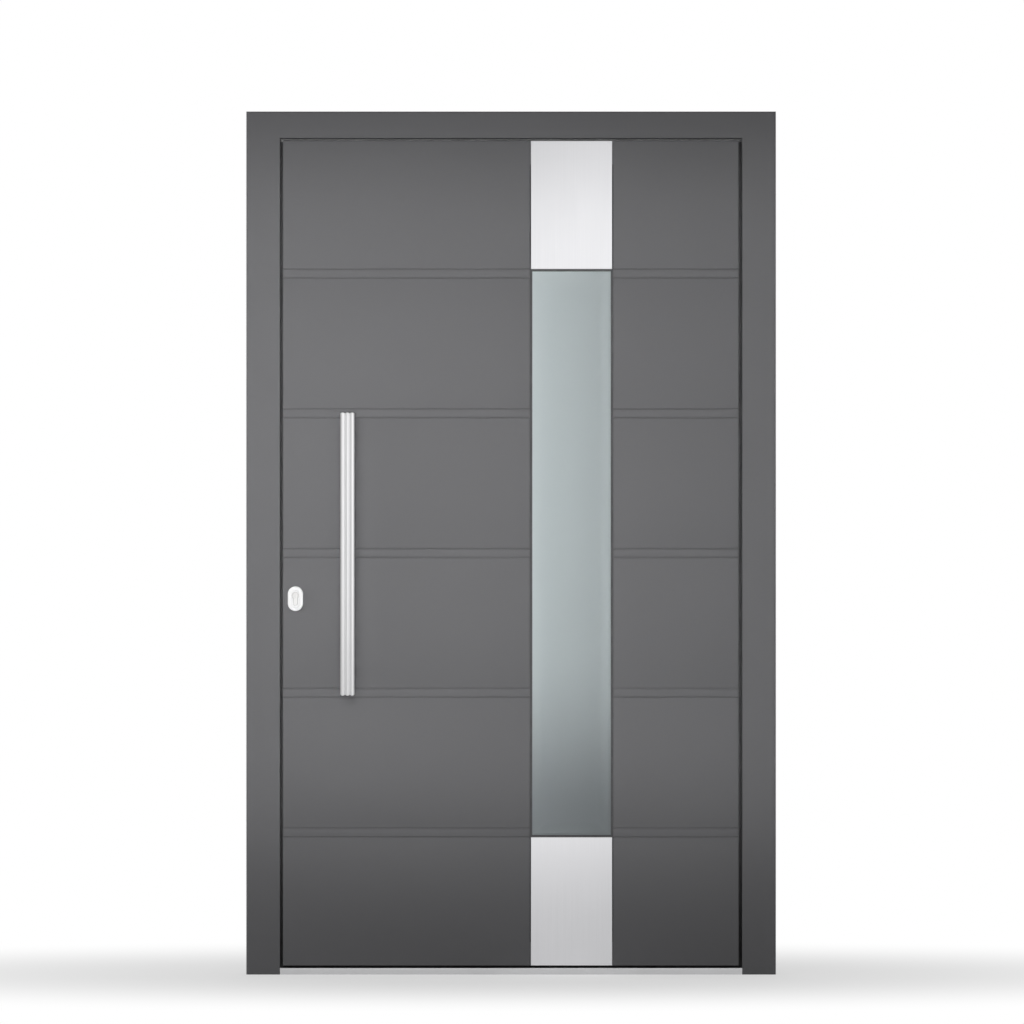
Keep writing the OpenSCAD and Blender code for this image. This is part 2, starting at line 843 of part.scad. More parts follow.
// clip-in beads behind the inner pane, each with a cover that laps over the inner sheets
module glazing_beads() {
    half_w = pane_w / 2;
    half_h = pane_h / 2;
    cover = gasket_w + bead_lap;
    in_w = half_w - bead_w;
    in_h = half_h - bead_w;
    color("#6f7073") for (side = [0, 1]) {
        translate([strip_x, 0, 0]) mirror([side, 0, 0]) {
            box([in_w, y_bead, leaf_mid_z - half_h], [half_w, y_in + bead_cover_t, leaf_mid_z + half_h]);
            box([in_w, y_in, leaf_mid_z - half_h - cover], [half_w + cover, y_in + bead_cover_t,
                leaf_mid_z + half_h + cover]);
        }
        translate([strip_x, 0, leaf_mid_z]) mirror([0, 0, side]) {
            x = in_w - fit_clear;
            box([-x, y_bead, in_h], [x, y_in + bead_cover_t, half_h]);
            box([-x, y_in, in_h], [x, y_in + bead_cover_t, half_h + cover]);
        }
    }
}

// ---- leaf: pull bar ----

// the round parts of three flutes side by side, above the level where they meet
module flute_arcs() {
    for (i = [-1, 0, 1]) translate([i * flute_pitch, 0]) intersection() {
        circle(flute_r);
        rect([-flute_pitch / 2, flute_meet - eps], [flute_pitch / 2, flute_r]);
    }
}

// the bar's section: the flutes in front and a flat back
module bar_section() {
    mirror([0, 1]) flute_arcs();
    rect([-bar_half_w, -flute_meet], [bar_half_w, bar_back]);
}

// the bar seen from outside: each flute has a round end
module bar_outline() {
    half = bar_l / 2 - flute_r;
    for (end = [0, 1]) mirror([0, end]) translate([0, half]) flute_arcs();
    rect([-bar_half_w, -half - flute_meet], [bar_half_w, half + flute_meet]);
}

module pull_bar() {
    color("#d8dadd") translate([bar_x, y_flutes, bar_z]) intersection() {
        upright(-bar_l / 2, bar_l / 2) bar_section();
        through(-flute_r, bar_back) bar_outline();
    }
}

module pull_bar_posts() {
    color("#c4c6c8") for (side = [-1, 1])
        translate([bar_x, y_out, bar_z + side * post_z]) rotate([90, 0, 0]) {
            cylinder(r = post_r, h = finger_gap);
            cylinder(r = post_foot_r, h = post_foot_t);
        }
}

// ---- leaf: lock ----

// an upright round-ended outline
module stadium(w, h) {
    for (end = [-1, 1]) translate([0, end * (h - w) / 2]) circle(w / 2);
    square([w, h - w], center = true);
}

module escutcheon_outer() {
    e = escutcheon_edge;
    color("#e6e7e8") difference() {
        translate([lock_x, 0, cylinder_z]) {
            through(y_out - escutcheon_t + e, y_out) stadium(escutcheon_w, escutcheon_h);
            through(y_out - escutcheon_t, y_out) stadium(escutcheon_w - 2 * e, escutcheon_h - 2 * e);
        }
        cylinder_hole();
    }
}

module lock_cylinder() {
    color("#d0cfc8") difference() {
        through(y_out - escutcheon_t, y_in + backplate_t) cylinder_outline(0);
        for (y = [y_out - escutcheon_t - eps, y_in + backplate_t - key_slot_d])
            translate([lock_x - key_slot_w / 2, y, cylinder_z + cylinder_drop - key_slot_h / 2])
                cube([key_slot_w, key_slot_d + eps, key_slot_h]);
    }
}

module lever_backplate() {
    z = cylinder_z + lever_rise / 2;
    color("#c4c6c8") difference() {
        translate([lock_x, 0, z]) through(y_in, y_in + backplate_t) stadium(backplate_w, backplate_h);
        cylinder_hole();
    }
}

// the neck stands on the plate, and the grip runs back over the leaf
module lever() {
    color("#c4c6c8") translate([lock_x, y_in + backplate_t, cylinder_z + lever_rise]) {
        rotate([-90, 0, 0]) cylinder(r = lever_r, h = lever_reach);
        translate([0, lever_reach, 0]) {
            sphere(lever_r);
            rotate([0, 90, 0]) cylinder(r = lever_r, h = lever_l);
            translate([lever_l, 0, 0]) sphere(lever_r);
        }
    }
}

// the faceplate's place in the leaf's edge; out is what it is made longer by, outwards
module faceplate_box(out) {
    box([-flange_x - out, y_lock - faceplate_w / 2, cylinder_z - faceplate_l / 2],
        [plate_t - flange_x, y_lock + faceplate_w / 2, cylinder_z + faceplate_l / 2]);
}

// the hole that lets a bolt through the leaf's edge
module bolt_hole(bolt, depth) {
    half_h = bolt[1] / 2 + fit_clear;
    half_w = bolt_w / 2 + fit_clear;
    box([-flange_x - eps, y_lock - half_w, bolt[0] - half_h],
        [depth - flange_x, y_lock + half_w, bolt[0] + half_h]);
}

module lock_faceplate() {
    color("#b9bbbd") difference() {
        faceplate_box(0);
        for (b = bolts) bolt_hole(b, plate_t + eps);
    }
}

// the bolts are drawn back, flush with the faceplate
module lock_bolts() {
    color("#9fa1a3") for (b = bolts)
        box([-flange_x, y_lock - bolt_w / 2, b[0] - b[1] / 2],
            [bolt_l - flange_x, y_lock + bolt_w / 2, b[0] + b[1] / 2]);
}

// seals on the leaf: a strip under the rear flange, and a ring on its front, behind the joint round the leaf
module leaf_seals() {
    y = (y_flange + y_in) / 2;
    c = joint_seal_clear;
    color("#525253") {
        box([-flange_x + rebate_gap, y - bottom_seal_t / 2, sill_floor_h + seal_clear],
            [flange_x - rebate_gap, y + bottom_seal_t / 2, flange_z0]);
        through(y_flange - joint_seal_t, y_flange) difference() {
            rect([c - lip_x, sill_lip_h + c], [lip_x - c, lip_z - c]);
            rect([leaf_x0, leaf_z0], [leaf_x1, leaf_z1]);
        }
    }
}
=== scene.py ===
import math

import bmesh
import bpy
import numpy as np
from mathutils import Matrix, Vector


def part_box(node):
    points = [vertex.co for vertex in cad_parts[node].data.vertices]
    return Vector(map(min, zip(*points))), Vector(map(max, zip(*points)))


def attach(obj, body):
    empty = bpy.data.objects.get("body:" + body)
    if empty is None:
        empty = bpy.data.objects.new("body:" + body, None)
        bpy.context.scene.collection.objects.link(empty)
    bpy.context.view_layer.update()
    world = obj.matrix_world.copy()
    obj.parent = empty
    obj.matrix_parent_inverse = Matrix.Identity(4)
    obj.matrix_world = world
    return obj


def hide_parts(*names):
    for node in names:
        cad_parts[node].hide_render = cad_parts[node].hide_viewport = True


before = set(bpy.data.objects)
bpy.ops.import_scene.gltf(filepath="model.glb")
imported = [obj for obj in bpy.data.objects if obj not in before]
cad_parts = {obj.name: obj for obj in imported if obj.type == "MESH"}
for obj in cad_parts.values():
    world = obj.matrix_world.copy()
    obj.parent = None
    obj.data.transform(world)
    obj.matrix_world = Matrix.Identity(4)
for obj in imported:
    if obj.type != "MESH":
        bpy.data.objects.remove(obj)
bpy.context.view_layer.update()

# Aluminium front door: a grooved leaf with a glass strip, hung in a frame with a threshold.
# Metres. X runs right as seen from outside, Y into the house, Z up. "frame" stands still, "leaf" swings.

scene = bpy.context.scene
mm = 0.001
xAxis, yAxis, zAxis = np.eye(3)
# directions across, up and out of a wall that faces this way
outward, inward = (xAxis, zAxis, -yAxis), (xAxis, zAxis, yAxis)
leftward, rightward, upward = (yAxis, zAxis, -xAxis), (yAxis, zAxis, xAxis), (xAxis, yAxis, zAxis)


def span(node):
    # lowest and highest corner of a CAD node
    low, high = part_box(node)
    return np.array(low), np.array(high)


def middle(node):
    low, high = span(node)
    return (low + high) / 2


def placed(name, data):
    thing = bpy.data.objects.new(name, data)
    scene.collection.objects.link(thing)
    return thing


wallLow, wallHigh = span("sheet_outer_lock")
outsideY = wallLow[1]                       # the leaf's outside face
insideY = span("sheet_inner_lock")[1][1]    # and its inside face

# Camera: far away with a long lens, so that upright lines stay upright

lookFrom = {"across": 2.610, "x": 0.0023, "z": 1.179, "distance": 20.0, "sensor": 36.0}


def makeCamera():
    data = bpy.data.cameras.new("streetCamera")
    data.sensor_width = lookFrom["sensor"]
    data.lens = lookFrom["sensor"] * lookFrom["distance"] / lookFrom["across"]
    data.clip_start, data.clip_end = 1.0, 200.0
    camera = placed("streetCamera", data)
    camera.location = (lookFrom["x"], outsideY - lookFrom["distance"], lookFrom["z"])
    camera.rotation_euler = (math.pi / 2, 0, 0)
    scene.camera = camera
    scene.view_settings.view_transform = "Standard"


makeCamera()
print("camera placed")

# Surfaces: grids of points that are worked out as whole arrays


class Shell:
    # collects grids and flat caps, then welds them into one closed mesh
    def __init__(self):
        self.points, self.faces, self.count = [], [], 0

    def grid(self, surface, loopRows=False, loopCols=True):
        rows, cols = surface.shape[:2]
        r, c = np.meshgrid(np.arange(rows - (not loopRows)), np.arange(cols - (not loopCols)), indexing="ij")
        nextR, nextC = (r + 1) % rows, (c + 1) % cols
        quads = np.stack([r * cols + c, r * cols + nextC, nextR * cols + nextC, nextR * cols + c], -1)
        self.faces += (quads.reshape(-1, 4) + self.count).tolist()
        return self.keep(surface.reshape(-1, 3))

    def cap(self, ring):
        self.faces.append(list(range(self.count, self.count + len(ring))))
        return self.keep(ring)

    def keep(self, points):
        self.points.append(points)
        self.count += len(points)
        return self

    def tower(self, rings):
        # closed rings one over another, with a flat face at both ends
        return self.grid(rings).cap(rings[0]).cap(rings[-1])

    def slab(self, wall, place, ring, rows):
        # a plate on a wall: one ring for each (inset, height) row
        return self.tower(onto(np.stack([level(ring(inset), height) for inset, height in rows]), wall, place))

    def piece(self, name, body, slot, *replaced, finish=None, sharpAngle=32):
        mesh = bpy.data.meshes.new(name)
        mesh.from_pydata(np.concatenate(self.points).tolist(), [], self.faces)
        work = bmesh.new()
        work.from_mesh(mesh)
        bmesh.ops.remove_doubles(work, verts=work.verts, dist=0.001 * mm)
        bmesh.ops.dissolve_degenerate(work, edges=work.edges, dist=0.0005 * mm)
        bmesh.ops.recalc_face_normals(work, faces=work.faces)
        work.to_mesh(mesh)
        work.free()
        mesh.shade_smooth()
        mesh.set_sharp_from_angle(angle=math.radians(sharpAngle))
        mesh.materials.append(finish or finishes[slot])
        thing = placed(name, mesh)
        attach(thing, body)
        if replaced:
            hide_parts(*replaced)


def onto(points, axes, origin=(0, 0, 0)):
    # a shape drawn as (across, up, height) is laid on a wall
    return np.array(origin) + points @ np.array(axes)


def quarterTurn(steps):
    return np.linspace(0, math.pi / 2, steps + 1)


def fullTurn(steps):
    return np.linspace(0, 2 * math.pi, steps, endpoint=False)


def roundRect(width, height, radius, perCorner):
    # closed ring of a rectangle with round corners, as a function of how far it is pulled in
    turns = (quarterTurn(perCorner) + np.arange(4)[:, None] * math.pi / 2).ravel()
    signX = np.repeat([1, -1, -1, 1], perCorner + 1)
    signY = np.repeat([1, 1, -1, -1], perCorner + 1)

    def ring(inset=0.0):
        halfW, halfH = width / 2 - inset, height / 2 - inset
        r = max(min(radius - inset, halfW, halfH), 0.02 * mm)
        x, y = signX * (halfW - r) + r * np.cos(turns), signY * (halfH - r) + r * np.sin(turns)
        return np.column_stack([x, y])

    return ring


def roundOff(corners, radii, steps):
    # closed outline of a polygon whose corners become arcs that touch both their sides; radii in millimetres
    p = np.array(corners, float)
    toLast, toNext = np.roll(p, 1, 0) - p, np.roll(p, -1, 0) - p
    lastLength, nextLength = np.linalg.norm(toLast, axis=1), np.linalg.norm(toNext, axis=1)
    toLast, toNext = toLast / lastLength[:, None], toNext / nextLength[:, None]
    half = np.arccos(np.clip((toLast * toNext).sum(1), -1, 1)) / 2
    longest = 0.49 * np.minimum(lastLength, nextLength)
    reach = np.minimum(np.array(radii) * mm / np.tan(half), longest)
    r = reach * np.tan(half)
    inner = toLast + toNext
    centre = p + inner / np.linalg.norm(inner, axis=1)[:, None] * (r / np.sin(half))[:, None]
    first, last = p + toLast * reach[:, None] - centre, p + toNext * reach[:, None] - centre
    begin = np.arctan2(first[:, 1], first[:, 0])
    turn = (np.arctan2(last[:, 1], last[:, 0]) - begin + math.pi) % (2 * math.pi) - math.pi
    angle = begin[:, None] + turn[:, None] * np.linspace(0, 1, steps + 1)
    arcs = centre[:, None, :] + r[:, None, None] * np.stack([np.cos(angle), np.sin(angle)], -1)
    return arcs.reshape(-1, 2)


def outerCorner(side, top, radius, steps):
    # a quarter circle from a side wall over to a flat top
    turn = quarterTurn(steps)
    return np.column_stack([side - radius + radius * np.cos(turn), top - radius + radius * np.sin(turn)])


def roundedEdge(height, radius, steps):
    # rows of (inset, height) for a wall that turns over into a flat top
    return np.vstack([[(0, 0)], outerCorner(0, height, radius, steps) * (-1, 1)])


def level(outline, height):
    return np.column_stack([outline, np.full(len(outline), height)])


def polar(turn, rows, lift=0.0):
    # one ring for each (reach, height) row: reach is how far it goes from the middle in each direction
    around = np.column_stack([np.cos(turn), np.sin(turn)])
    return np.stack([level(around * reach[:, None] + (0, lift), height) for reach, height in rows])


def turned(profile, segments=64, lobes=0.0):
    # a profile of (radius, height) turned once round; lobes makes single rows wavy, six waves each
    profile = np.array(profile, float)
    turn = fullTurn(segments)
    r = profile[:, :1] * (1 + np.broadcast_to(lobes, len(profile))[:, None] * np.cos(6 * turn))
    return np.stack([r * np.cos(turn), r * np.sin(turn), np.broadcast_to(profile[:, 1:], r.shape)], -1)


def along(axes, outline, start, end):
    # a closed outline carried along the third of the axes
    return onto(np.stack([level(outline, start), level(outline, end)]), axes)


# Finishes: node trees written as sums


class Wire:
    # an output socket that adds, multiplies and compares like a number
    def __init__(self, nodes, socket):
        self.nodes, self.socket = nodes, socket

    def math(self, operation, *values):
        return self.nodes.node("ShaderNodeMath", {"operation": operation}, values)

    def __add__(self, other): return self.math("ADD", self, other)
    def __sub__(self, other): return self.math("SUBTRACT", self, other)
    def __rsub__(self, other): return self.math("SUBTRACT", other, self)
    def __mul__(self, other): return self.math("MULTIPLY", self, other)
    __radd__ = __add__
    __rmul__ = __mul__

    def absolute(self):
        return self.math("ABSOLUTE", self)

    def between(self, low, high):
        # 0 at low, 1 at high, held at both ends
        return self.nodes.node("ShaderNodeMapRange", {"interpolation_type": "SMOOTHSTEP"},
                               {"Value": self, "From Min": low, "From Max": high})


class Nodes:
    # the node tree of a material or the world; one method makes every node
    def __init__(self, owner, outputKind):
        owner.use_nodes = True
        self.tree = owner.node_tree
        self.tree.nodes.clear()
        self.end = self.tree.nodes.new(outputKind).inputs[0]

    def feed(self, socket, value):
        if isinstance(value, Wire):
            self.tree.links.new(value.socket, socket)
        elif socket.type == "RGBA":
            socket.default_value = (*value[:3], 1.0)
        else:
            socket.default_value = value

    def node(self, kind, settings, values, output=0):
        made = self.tree.nodes.new(kind)
        for name, value in settings.items():
            setattr(made, name, value)
        for name, value in values.items() if isinstance(values, dict) else enumerate(values):
            self.feed(made.inputs[name], value)
        return Wire(self, made.outputs[output])

    def rays(self, kind):
        # 1 for rays of this kind, 0 for all others
        return self.node("ShaderNodeLightPath", {}, {}, output="Is %s Ray" % kind)


class Finish(Nodes):
    # a material with one Principled shader; wires and numbers go into its sockets by name
    def __init__(self, name, **fixed):
        self.material = bpy.data.materials.new(name)
        super().__init__(self.material, "ShaderNodeOutputMaterial")
        self.surface = self.node("ShaderNodeBsdfPrincipled", {}, {})
        self.feed(self.end, self.surface)
        self.place = self.node("ShaderNodeTexCoord", {}, {}, output="Object")
        self.set(**fixed)

    def set(self, **values):
        # underscores stand for the spaces in socket names
        for name, value in values.items():
            self.feed(self.surface.socket.node.inputs[name.replace("_", " ")], value)
        return self.material

    def axis(self, name):
        return self.node("ShaderNodeSeparateXYZ", {}, [self.place], output=name)

    def mapped(self, scale, place=(0, 0, 0)):
        return self.node("ShaderNodeMapping", {}, {"Vector": self.place, "Location": place, "Scale": scale})

    def length(self, vector):
        return self.node("ShaderNodeVectorMath", {"operation": "LENGTH"}, [vector], output="Value")

    def noise(self, scale, detail, stretch=(1, 1, 1)):
        # from about -0.5 to 0.5
        values = {"Vector": self.mapped(stretch), "Scale": scale, "Detail": detail}
        return self.node("ShaderNodeTexNoise", {}, values) - 0.5

    def cells(self, scale):
        values = {"Vector": self.place, "Scale": scale}
        return self.node("ShaderNodeTexVoronoi", {}, values, output="Distance")

    def mix(self, factor, first, second):
        return self.node("ShaderNodeMix", {"data_type": "RGBA"}, {0: factor, 6: first, 7: second}, output=2)

    def tinted(self, factor, colour, dark, pale):
        # a colour that wanders between a darker and a paler shade of itself
        return self.mix(factor, shade(colour, dark), shade(colour, pale))

    def bump(self, height, depth):
        # height of 0 to 1 stands for depth in metres
        return self.node("ShaderNodeBump", {}, {"Height": height, "Distance": depth, "Strength": 1.0})

    def look(self, colour, rough, height, depth):
        return self.set(Base_Color=colour, Roughness=rough, Normal=self.bump(height, depth))

    def blend(self, factor, first, second):
        return self.node("ShaderNodeMixShader", {}, [factor, first, second])


def tone(red, green, blue):
    # a colour as written for the screen, 0 to 255, in linear light
    v = np.array([red, green, blue]) / 255
    return tuple(np.where(v <= 0.04045, v / 12.92, ((v + 0.055) / 1.055) ** 2.4))


def shade(colour, factor):
    return tuple(min(1.0, part * factor) for part in colour)


paint = {"colour": tone(112, 112, 114), "rough": 0.52, "shine": 0.32, "texture": 0.22 * mm,
         "cloudSize": 2.2, "pebbleSize": 1100, "gritSize": 3600}


def powderCoat(name):
    # baked powder: fine pebbled skin, slightly cloudy
    finish = Finish(name, Specular_IOR_Level=paint["shine"])
    clouds = finish.noise(paint["cloudSize"], 3.0)
    pebbles = finish.noise(paint["pebbleSize"], 2.0)
    grit = finish.noise(paint["gritSize"], 1.0)
    mottling = clouds + pebbles * 2.2 + grit * 0.8 + 0.5
    return finish.look(
        finish.tinted(mottling, paint["colour"], 0.94, 1.06), pebbles * 0.14 + clouds * 0.05 + paint["rough"],
        pebbles + grit * 0.5, paint["texture"])


grinding = {"hairStretch": 0.004, "lineStretch": 0.02, "lineSize": 0.35, "depth": 0.02 * mm}


def brushedMetal(name, colour, rough, fineness, grain, streaks, wear):
    # ground metal: hair lines along the grain's axis, a slow change of tone, and a few longer scratches
    finish = Finish(name, Metallic=1.0)
    hairs, longer = ([grinding[key] if axis == grain else 1 for axis in "XYZ"]
                     for key in ("hairStretch", "lineStretch"))
    hair = finish.noise(fineness, 3.0, hairs)
    lines = finish.noise(fineness * grinding["lineSize"], 2.0, longer)
    clouds = finish.noise(9.0, 3.0)
    return finish.look(
        finish.tinted(hair * 1.4 + clouds * 0.4 + 0.5, colour, 1 - streaks, 1 + streaks / 2),
        hair * wear + lines * 0.12 + clouds * 0.08 + rough, hair + lines * 0.6, grinding["depth"])


def blastedMetal(name, colour, rough, metallic):
    # bead-blasted and lacquered: an even, very fine pitting
    finish = Finish(name, Metallic=metallic)
    pits = finish.cells(5200)
    clouds = finish.noise(60, 3.0)
    return finish.look(
        finish.tinted(pits * 0.6 + clouds * 0.6, colour, 1.02, 0.93), clouds * 0.10 + pits * 0.06 + rough,
        pits, 0.03 * mm)


def turnedMetal(name, colour, rough, centre, ringWidth=0.45 * mm):
    # faced on a lathe: rings round the cylinder's axis, with small dents near the key slot
    finish = Finish(name, Metallic=1.0)
    distance = finish.length(finish.mapped((1, 0, 1), tuple(-centre)))
    rings = distance.math("SINE", distance * (2 * math.pi / ringWidth))
    dents = finish.noise(900, 3.0)
    return finish.look(
        finish.tinted(dents + 0.5, colour, 0.90, 1.05), dents * 0.2 + rings * 0.03 + rough,
        rings * 0.3 + dents, 0.012 * mm)


def anodised(name, colour, rough):
    # extruded and anodised: faint die lines along X, trodden a little duller in places
    finish = Finish(name, Metallic=1.0)
    lines = finish.noise(2400, 2.0, (0.002, 1, 1))
    clouds = finish.noise(14, 4.0)
    treads = (finish.noise(6, 3.0) * 2.0 + 0.4).between(0.35, 0.8)
    return finish.look(
        finish.tinted(lines + clouds * 0.6 + 0.5, colour, 0.9, 1.05), lines * 0.12 + treads * 0.12 + rough,
        lines, 0.02 * mm)


# the paler second tone is painted light for the joint at the head
rubberGrey, headGapLight = (0.110, 0.110, 0.113), (0.55, 0.55, 0.56)


def rubber(name, paintedHeadLight=None):
    # extruded rubber with a dusty bloom; given a head colour, it gets a paler band of painted light above the
    # leaf's top edge, so that the joint at the head reads lighter
    finish = Finish(name, Specular_IOR_Level=0.3)
    bloom = finish.noise(35, 4.0).between(-0.15, 0.25)
    skin = finish.noise(2600, 2.0)
    base = finish.tinted(bloom, rubberGrey, 1, 1.25)
    if paintedHeadLight:
        headLightMask = finish.axis("Z").between(wallHigh[2] - 1.5 * mm, wallHigh[2] - 0.5 * mm)
        base = finish.mix(headLightMask, base, paintedHeadLight)
    return finish.look(base, bloom * 0.12 + skin * 0.10 + 0.62, skin, 0.04 * mm)


def filledPlastic(name, colour, fleck=(0.16, 0.16, 0.165)):
    # glass-filled polyamide: matt, with pale flecks of fibre and die lines
    finish = Finish(name, Specular_IOR_Level=0.35)
    fibres = finish.noise(3000, 1.0, (0.25, 0.25, 0.04)).between(0.12, 0.22)
    clouds = finish.noise(30, 3.0)
    return finish.look(
        finish.mix(fibres * 0.35, colour, fleck), clouds * 0.12 + 0.55, fibres + clouds, 0.03 * mm)


def sawnFoam(name, colour, glue=(0.012, 0.012, 0.013)):
    # rigid foam: cut cells with dark rims, and a film of glue under the sheets
    finish = Finish(name, Specular_IOR_Level=0.2)
    cells = finish.cells(1300)
    clouds = finish.noise(25, 3.0)
    foam = finish.tinted(cells * 1.3 + clouds * 0.5, colour, 1.05, 0.72)
    film = finish.axis("Y").absolute().between(-outsideY - 3.4 * mm, -outsideY - 3.1 * mm)
    return finish.look(finish.mix(film, foam, glue), clouds * 0.1 + 0.85, cells, 0.3 * mm)


def spacerStrip(name, colour):
    # glazing spacer: satin strip with two rows of fine pinholes
    finish = Finish(name, Specular_IOR_Level=0.4)
    holes = finish.cells(420).between(0.10, 0.16)
    return finish.look(
        finish.tinted(holes, colour, 0.3, 1), finish.noise(80, 2.0) * 0.1 + 0.42, holes, 0.2 * mm)


# the low and right-hand frost colours, heights and shares are painted shade; the rim shares also paint a
# lighter band round the pane's edge
satin = {"tint": (0.872, 0.927, 0.947), "rough": 0.44, "etch": 0.02 * mm, "ior": 1.5,
         "frost": (0.69, 0.776, 0.79), "lowShadeFrost": (0.286, 0.318, 0.332), "shadeHeights": (0.42, 0.85),
         "frostShare": 0.55, "lowShadeShare": 0.75, "rimFrostAndHighlight": 0.20, "lowRimFrostAndHighlight": 0.13, "rim": (2 * mm, 38 * mm),
         "rightShadeTop": 0.26, "rightShadeLow": 0.76}


def etchedGlass(name):
    # acid-etched pane: frosted, a little denser near its rim; painted shade darkens its frost low down and
    # rightwards, where the light falls off, and the denser rim is also a painted highlight over the shade of
    # spacer and beads
    finish = Finish(name, IOR=satin["ior"], Transmission_Weight=1.0)
    etch = finish.noise(1500, 2.0)
    clouds = finish.noise(5, 3.0)
    rough = clouds * 0.05 + etch * 0.04 + satin["rough"]
    bumps = finish.bump(etch, satin["etch"])
    tint = finish.tinted(clouds + 0.5, satin["tint"], 0.985, 1.01)
    finish.set(Base_Color=tint, Roughness=rough, Normal=bumps)
    low, high = span("pane_outer")
    centre, half = (low + high) / 2, (high - low) / 2
    x, z = finish.axis("X"), finish.axis("Z")
    edgeX, edgeZ = (x - centre[0]).absolute() - half[0], (z - centre[2]).absolute() - half[2]
    # denser frost near the edge: partly a ground rim, partly a painted highlight over the shade that spacer
    # and beads cast
    rim = edgeX.math("MAXIMUM", edgeX, edgeZ).between(-satin["rim"][1], -satin["rim"][0])
    # painted shade: the frost colour darkens towards the bottom and towards the right
    fade, shadeToRight = z.between(*satin["shadeHeights"]), x.between(low[0], high[0])
    lowShadeFrost = finish.tinted(shadeToRight, satin["lowShadeFrost"], 1, satin["rightShadeLow"])
    frost = finish.tinted(clouds + 0.5, satin["frost"], 0.97, 1.03)
    frost = finish.mix(fade * (1 - shadeToRight * satin["rightShadeTop"]), lowShadeFrost, frost)
    frosted = finish.node("ShaderNodeBsdfPrincipled", {}, {
        "Base Color": frost, "Roughness": rough, "Normal": bumps, "IOR": satin["ior"]})
    # the frost share and the rim's share change with height along with the painted shade
    share = satin["lowShadeShare"] - fade * (satin["lowShadeShare"] - satin["frostShare"])
    rimFrostAndHighlight = satin["lowRimFrostAndHighlight"] + fade * (satin["rimFrostAndHighlight"] - satin["lowRimFrostAndHighlight"])
    finish.feed(finish.end, finish.blend(rim * rimFrostAndHighlight + share + etch * 0.04, finish.surface, frosted))
    return finish.material


def floatGlass(name):
    # clear pane with the green of ordinary float glass and a little dust
    finish = Finish(name, IOR=1.5, Transmission_Weight=1.0)
    dust = finish.noise(45, 4.0).between(0.05, 0.4)
    return finish.look(
        finish.mix(dust, (0.93, 0.968, 0.962), (0.90, 0.925, 0.92)), dust * 0.05 + 0.015,
        finish.noise(3, 1.0), 0.05 * mm)


keyRadius = 8.5 * mm
cylinderAxis = np.array([middle("lock_cylinder")[0], 0.0, span("lock_cylinder")[1][2] - keyRadius])

finishes = {
    "frame_paint": powderCoat("framePaint"),
    "leaf_paint": powderCoat("leafPaint"),
    "brushed_plates": brushedMetal("brushedPlates", (0.90, 0.90, 0.92), 0.44, 900, "Z", 0.05, 0.12),
    "handle_steel": brushedMetal("handleSteel", (0.94, 0.94, 0.945), 0.40, 1400, "Z", 0.09, 0.16),
    "satin_nickel": blastedMetal("satinNickel", (0.95, 0.95, 0.952), 0.42, 0.45),
    "cylinder_nickel": turnedMetal("cylinderNickel", (0.95, 0.945, 0.935), 0.36, cylinderAxis),
    "lock_steel": brushedMetal("lockSteel", (0.62, 0.63, 0.64), 0.36, 1500, "Z", 0.08, 0.2),
    "hinge_steel": brushedMetal("hingeSteel", (0.66, 0.67, 0.68), 0.34, 1800, "Z", 0.08, 0.2),
    "sill_aluminium": anodised("sillAluminium", (0.72, 0.72, 0.73), 0.40),
    "polyamide": filledPlastic("polyamide", (0.018, 0.018, 0.02)),
    "foam": sawnFoam("sawnFoam", (0.72, 0.66, 0.45)),
    "gasket_rubber": rubber("gasketRubber"),
    "satin_glass": etchedGlass("satinGlass"),
    "clear_glass": floatGlass("clearGlass"),
    "spacer": spacerStrip("spacerStrip", (0.62, 0.63, 0.64)),
}
# this seal gets the painted light above the leaf's top edge
sealRubber = rubber("sealRubber", headGapLight)
leverSteel = brushedMetal("leverSteel", (0.90, 0.90, 0.905), 0.32, 1400, "X", 0.06, 0.16)

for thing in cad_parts.values():
    for holder in thing.material_slots:
        holder.material = finishes[holder.material.name.split(".")[0]]
print("finishes:", len(finishes) + 2)

# Facing sheets: flat skins with pairs of soft grooves and rounded edges

facing = {"edge": 1.3 * mm, "edgeSteps": 5, "groovePairs": 5, "pairSpacing": 22.5 * mm,
          "grooveWidth": 6 * mm, "grooveDepth": 2.0 * mm, "grooveSteps": 12}


def grooveHeights():
    # the glass lies between the outermost grooves, which gives the pitch
    low, high = span("glazing_gasket")
    pairs, spacing = facing["groovePairs"], facing["pairSpacing"]
    pitch = (high[2] - low[2] - spacing) / (pairs - 1)
    centres = (low[2] + high[2]) / 2 + pitch * (np.arange(pairs) - (pairs - 1) / 2)
    return (centres[:, None] + spacing / 2 * np.array([-1, 1])).ravel()


def edgeSamples(low, high, radius):
    # places close together where the edge turns over, as an arc seen from above
    lap = radius * (1 - np.cos(quarterTurn(facing["edgeSteps"])))
    return np.concatenate([low + lap, high - lap[::-1]])


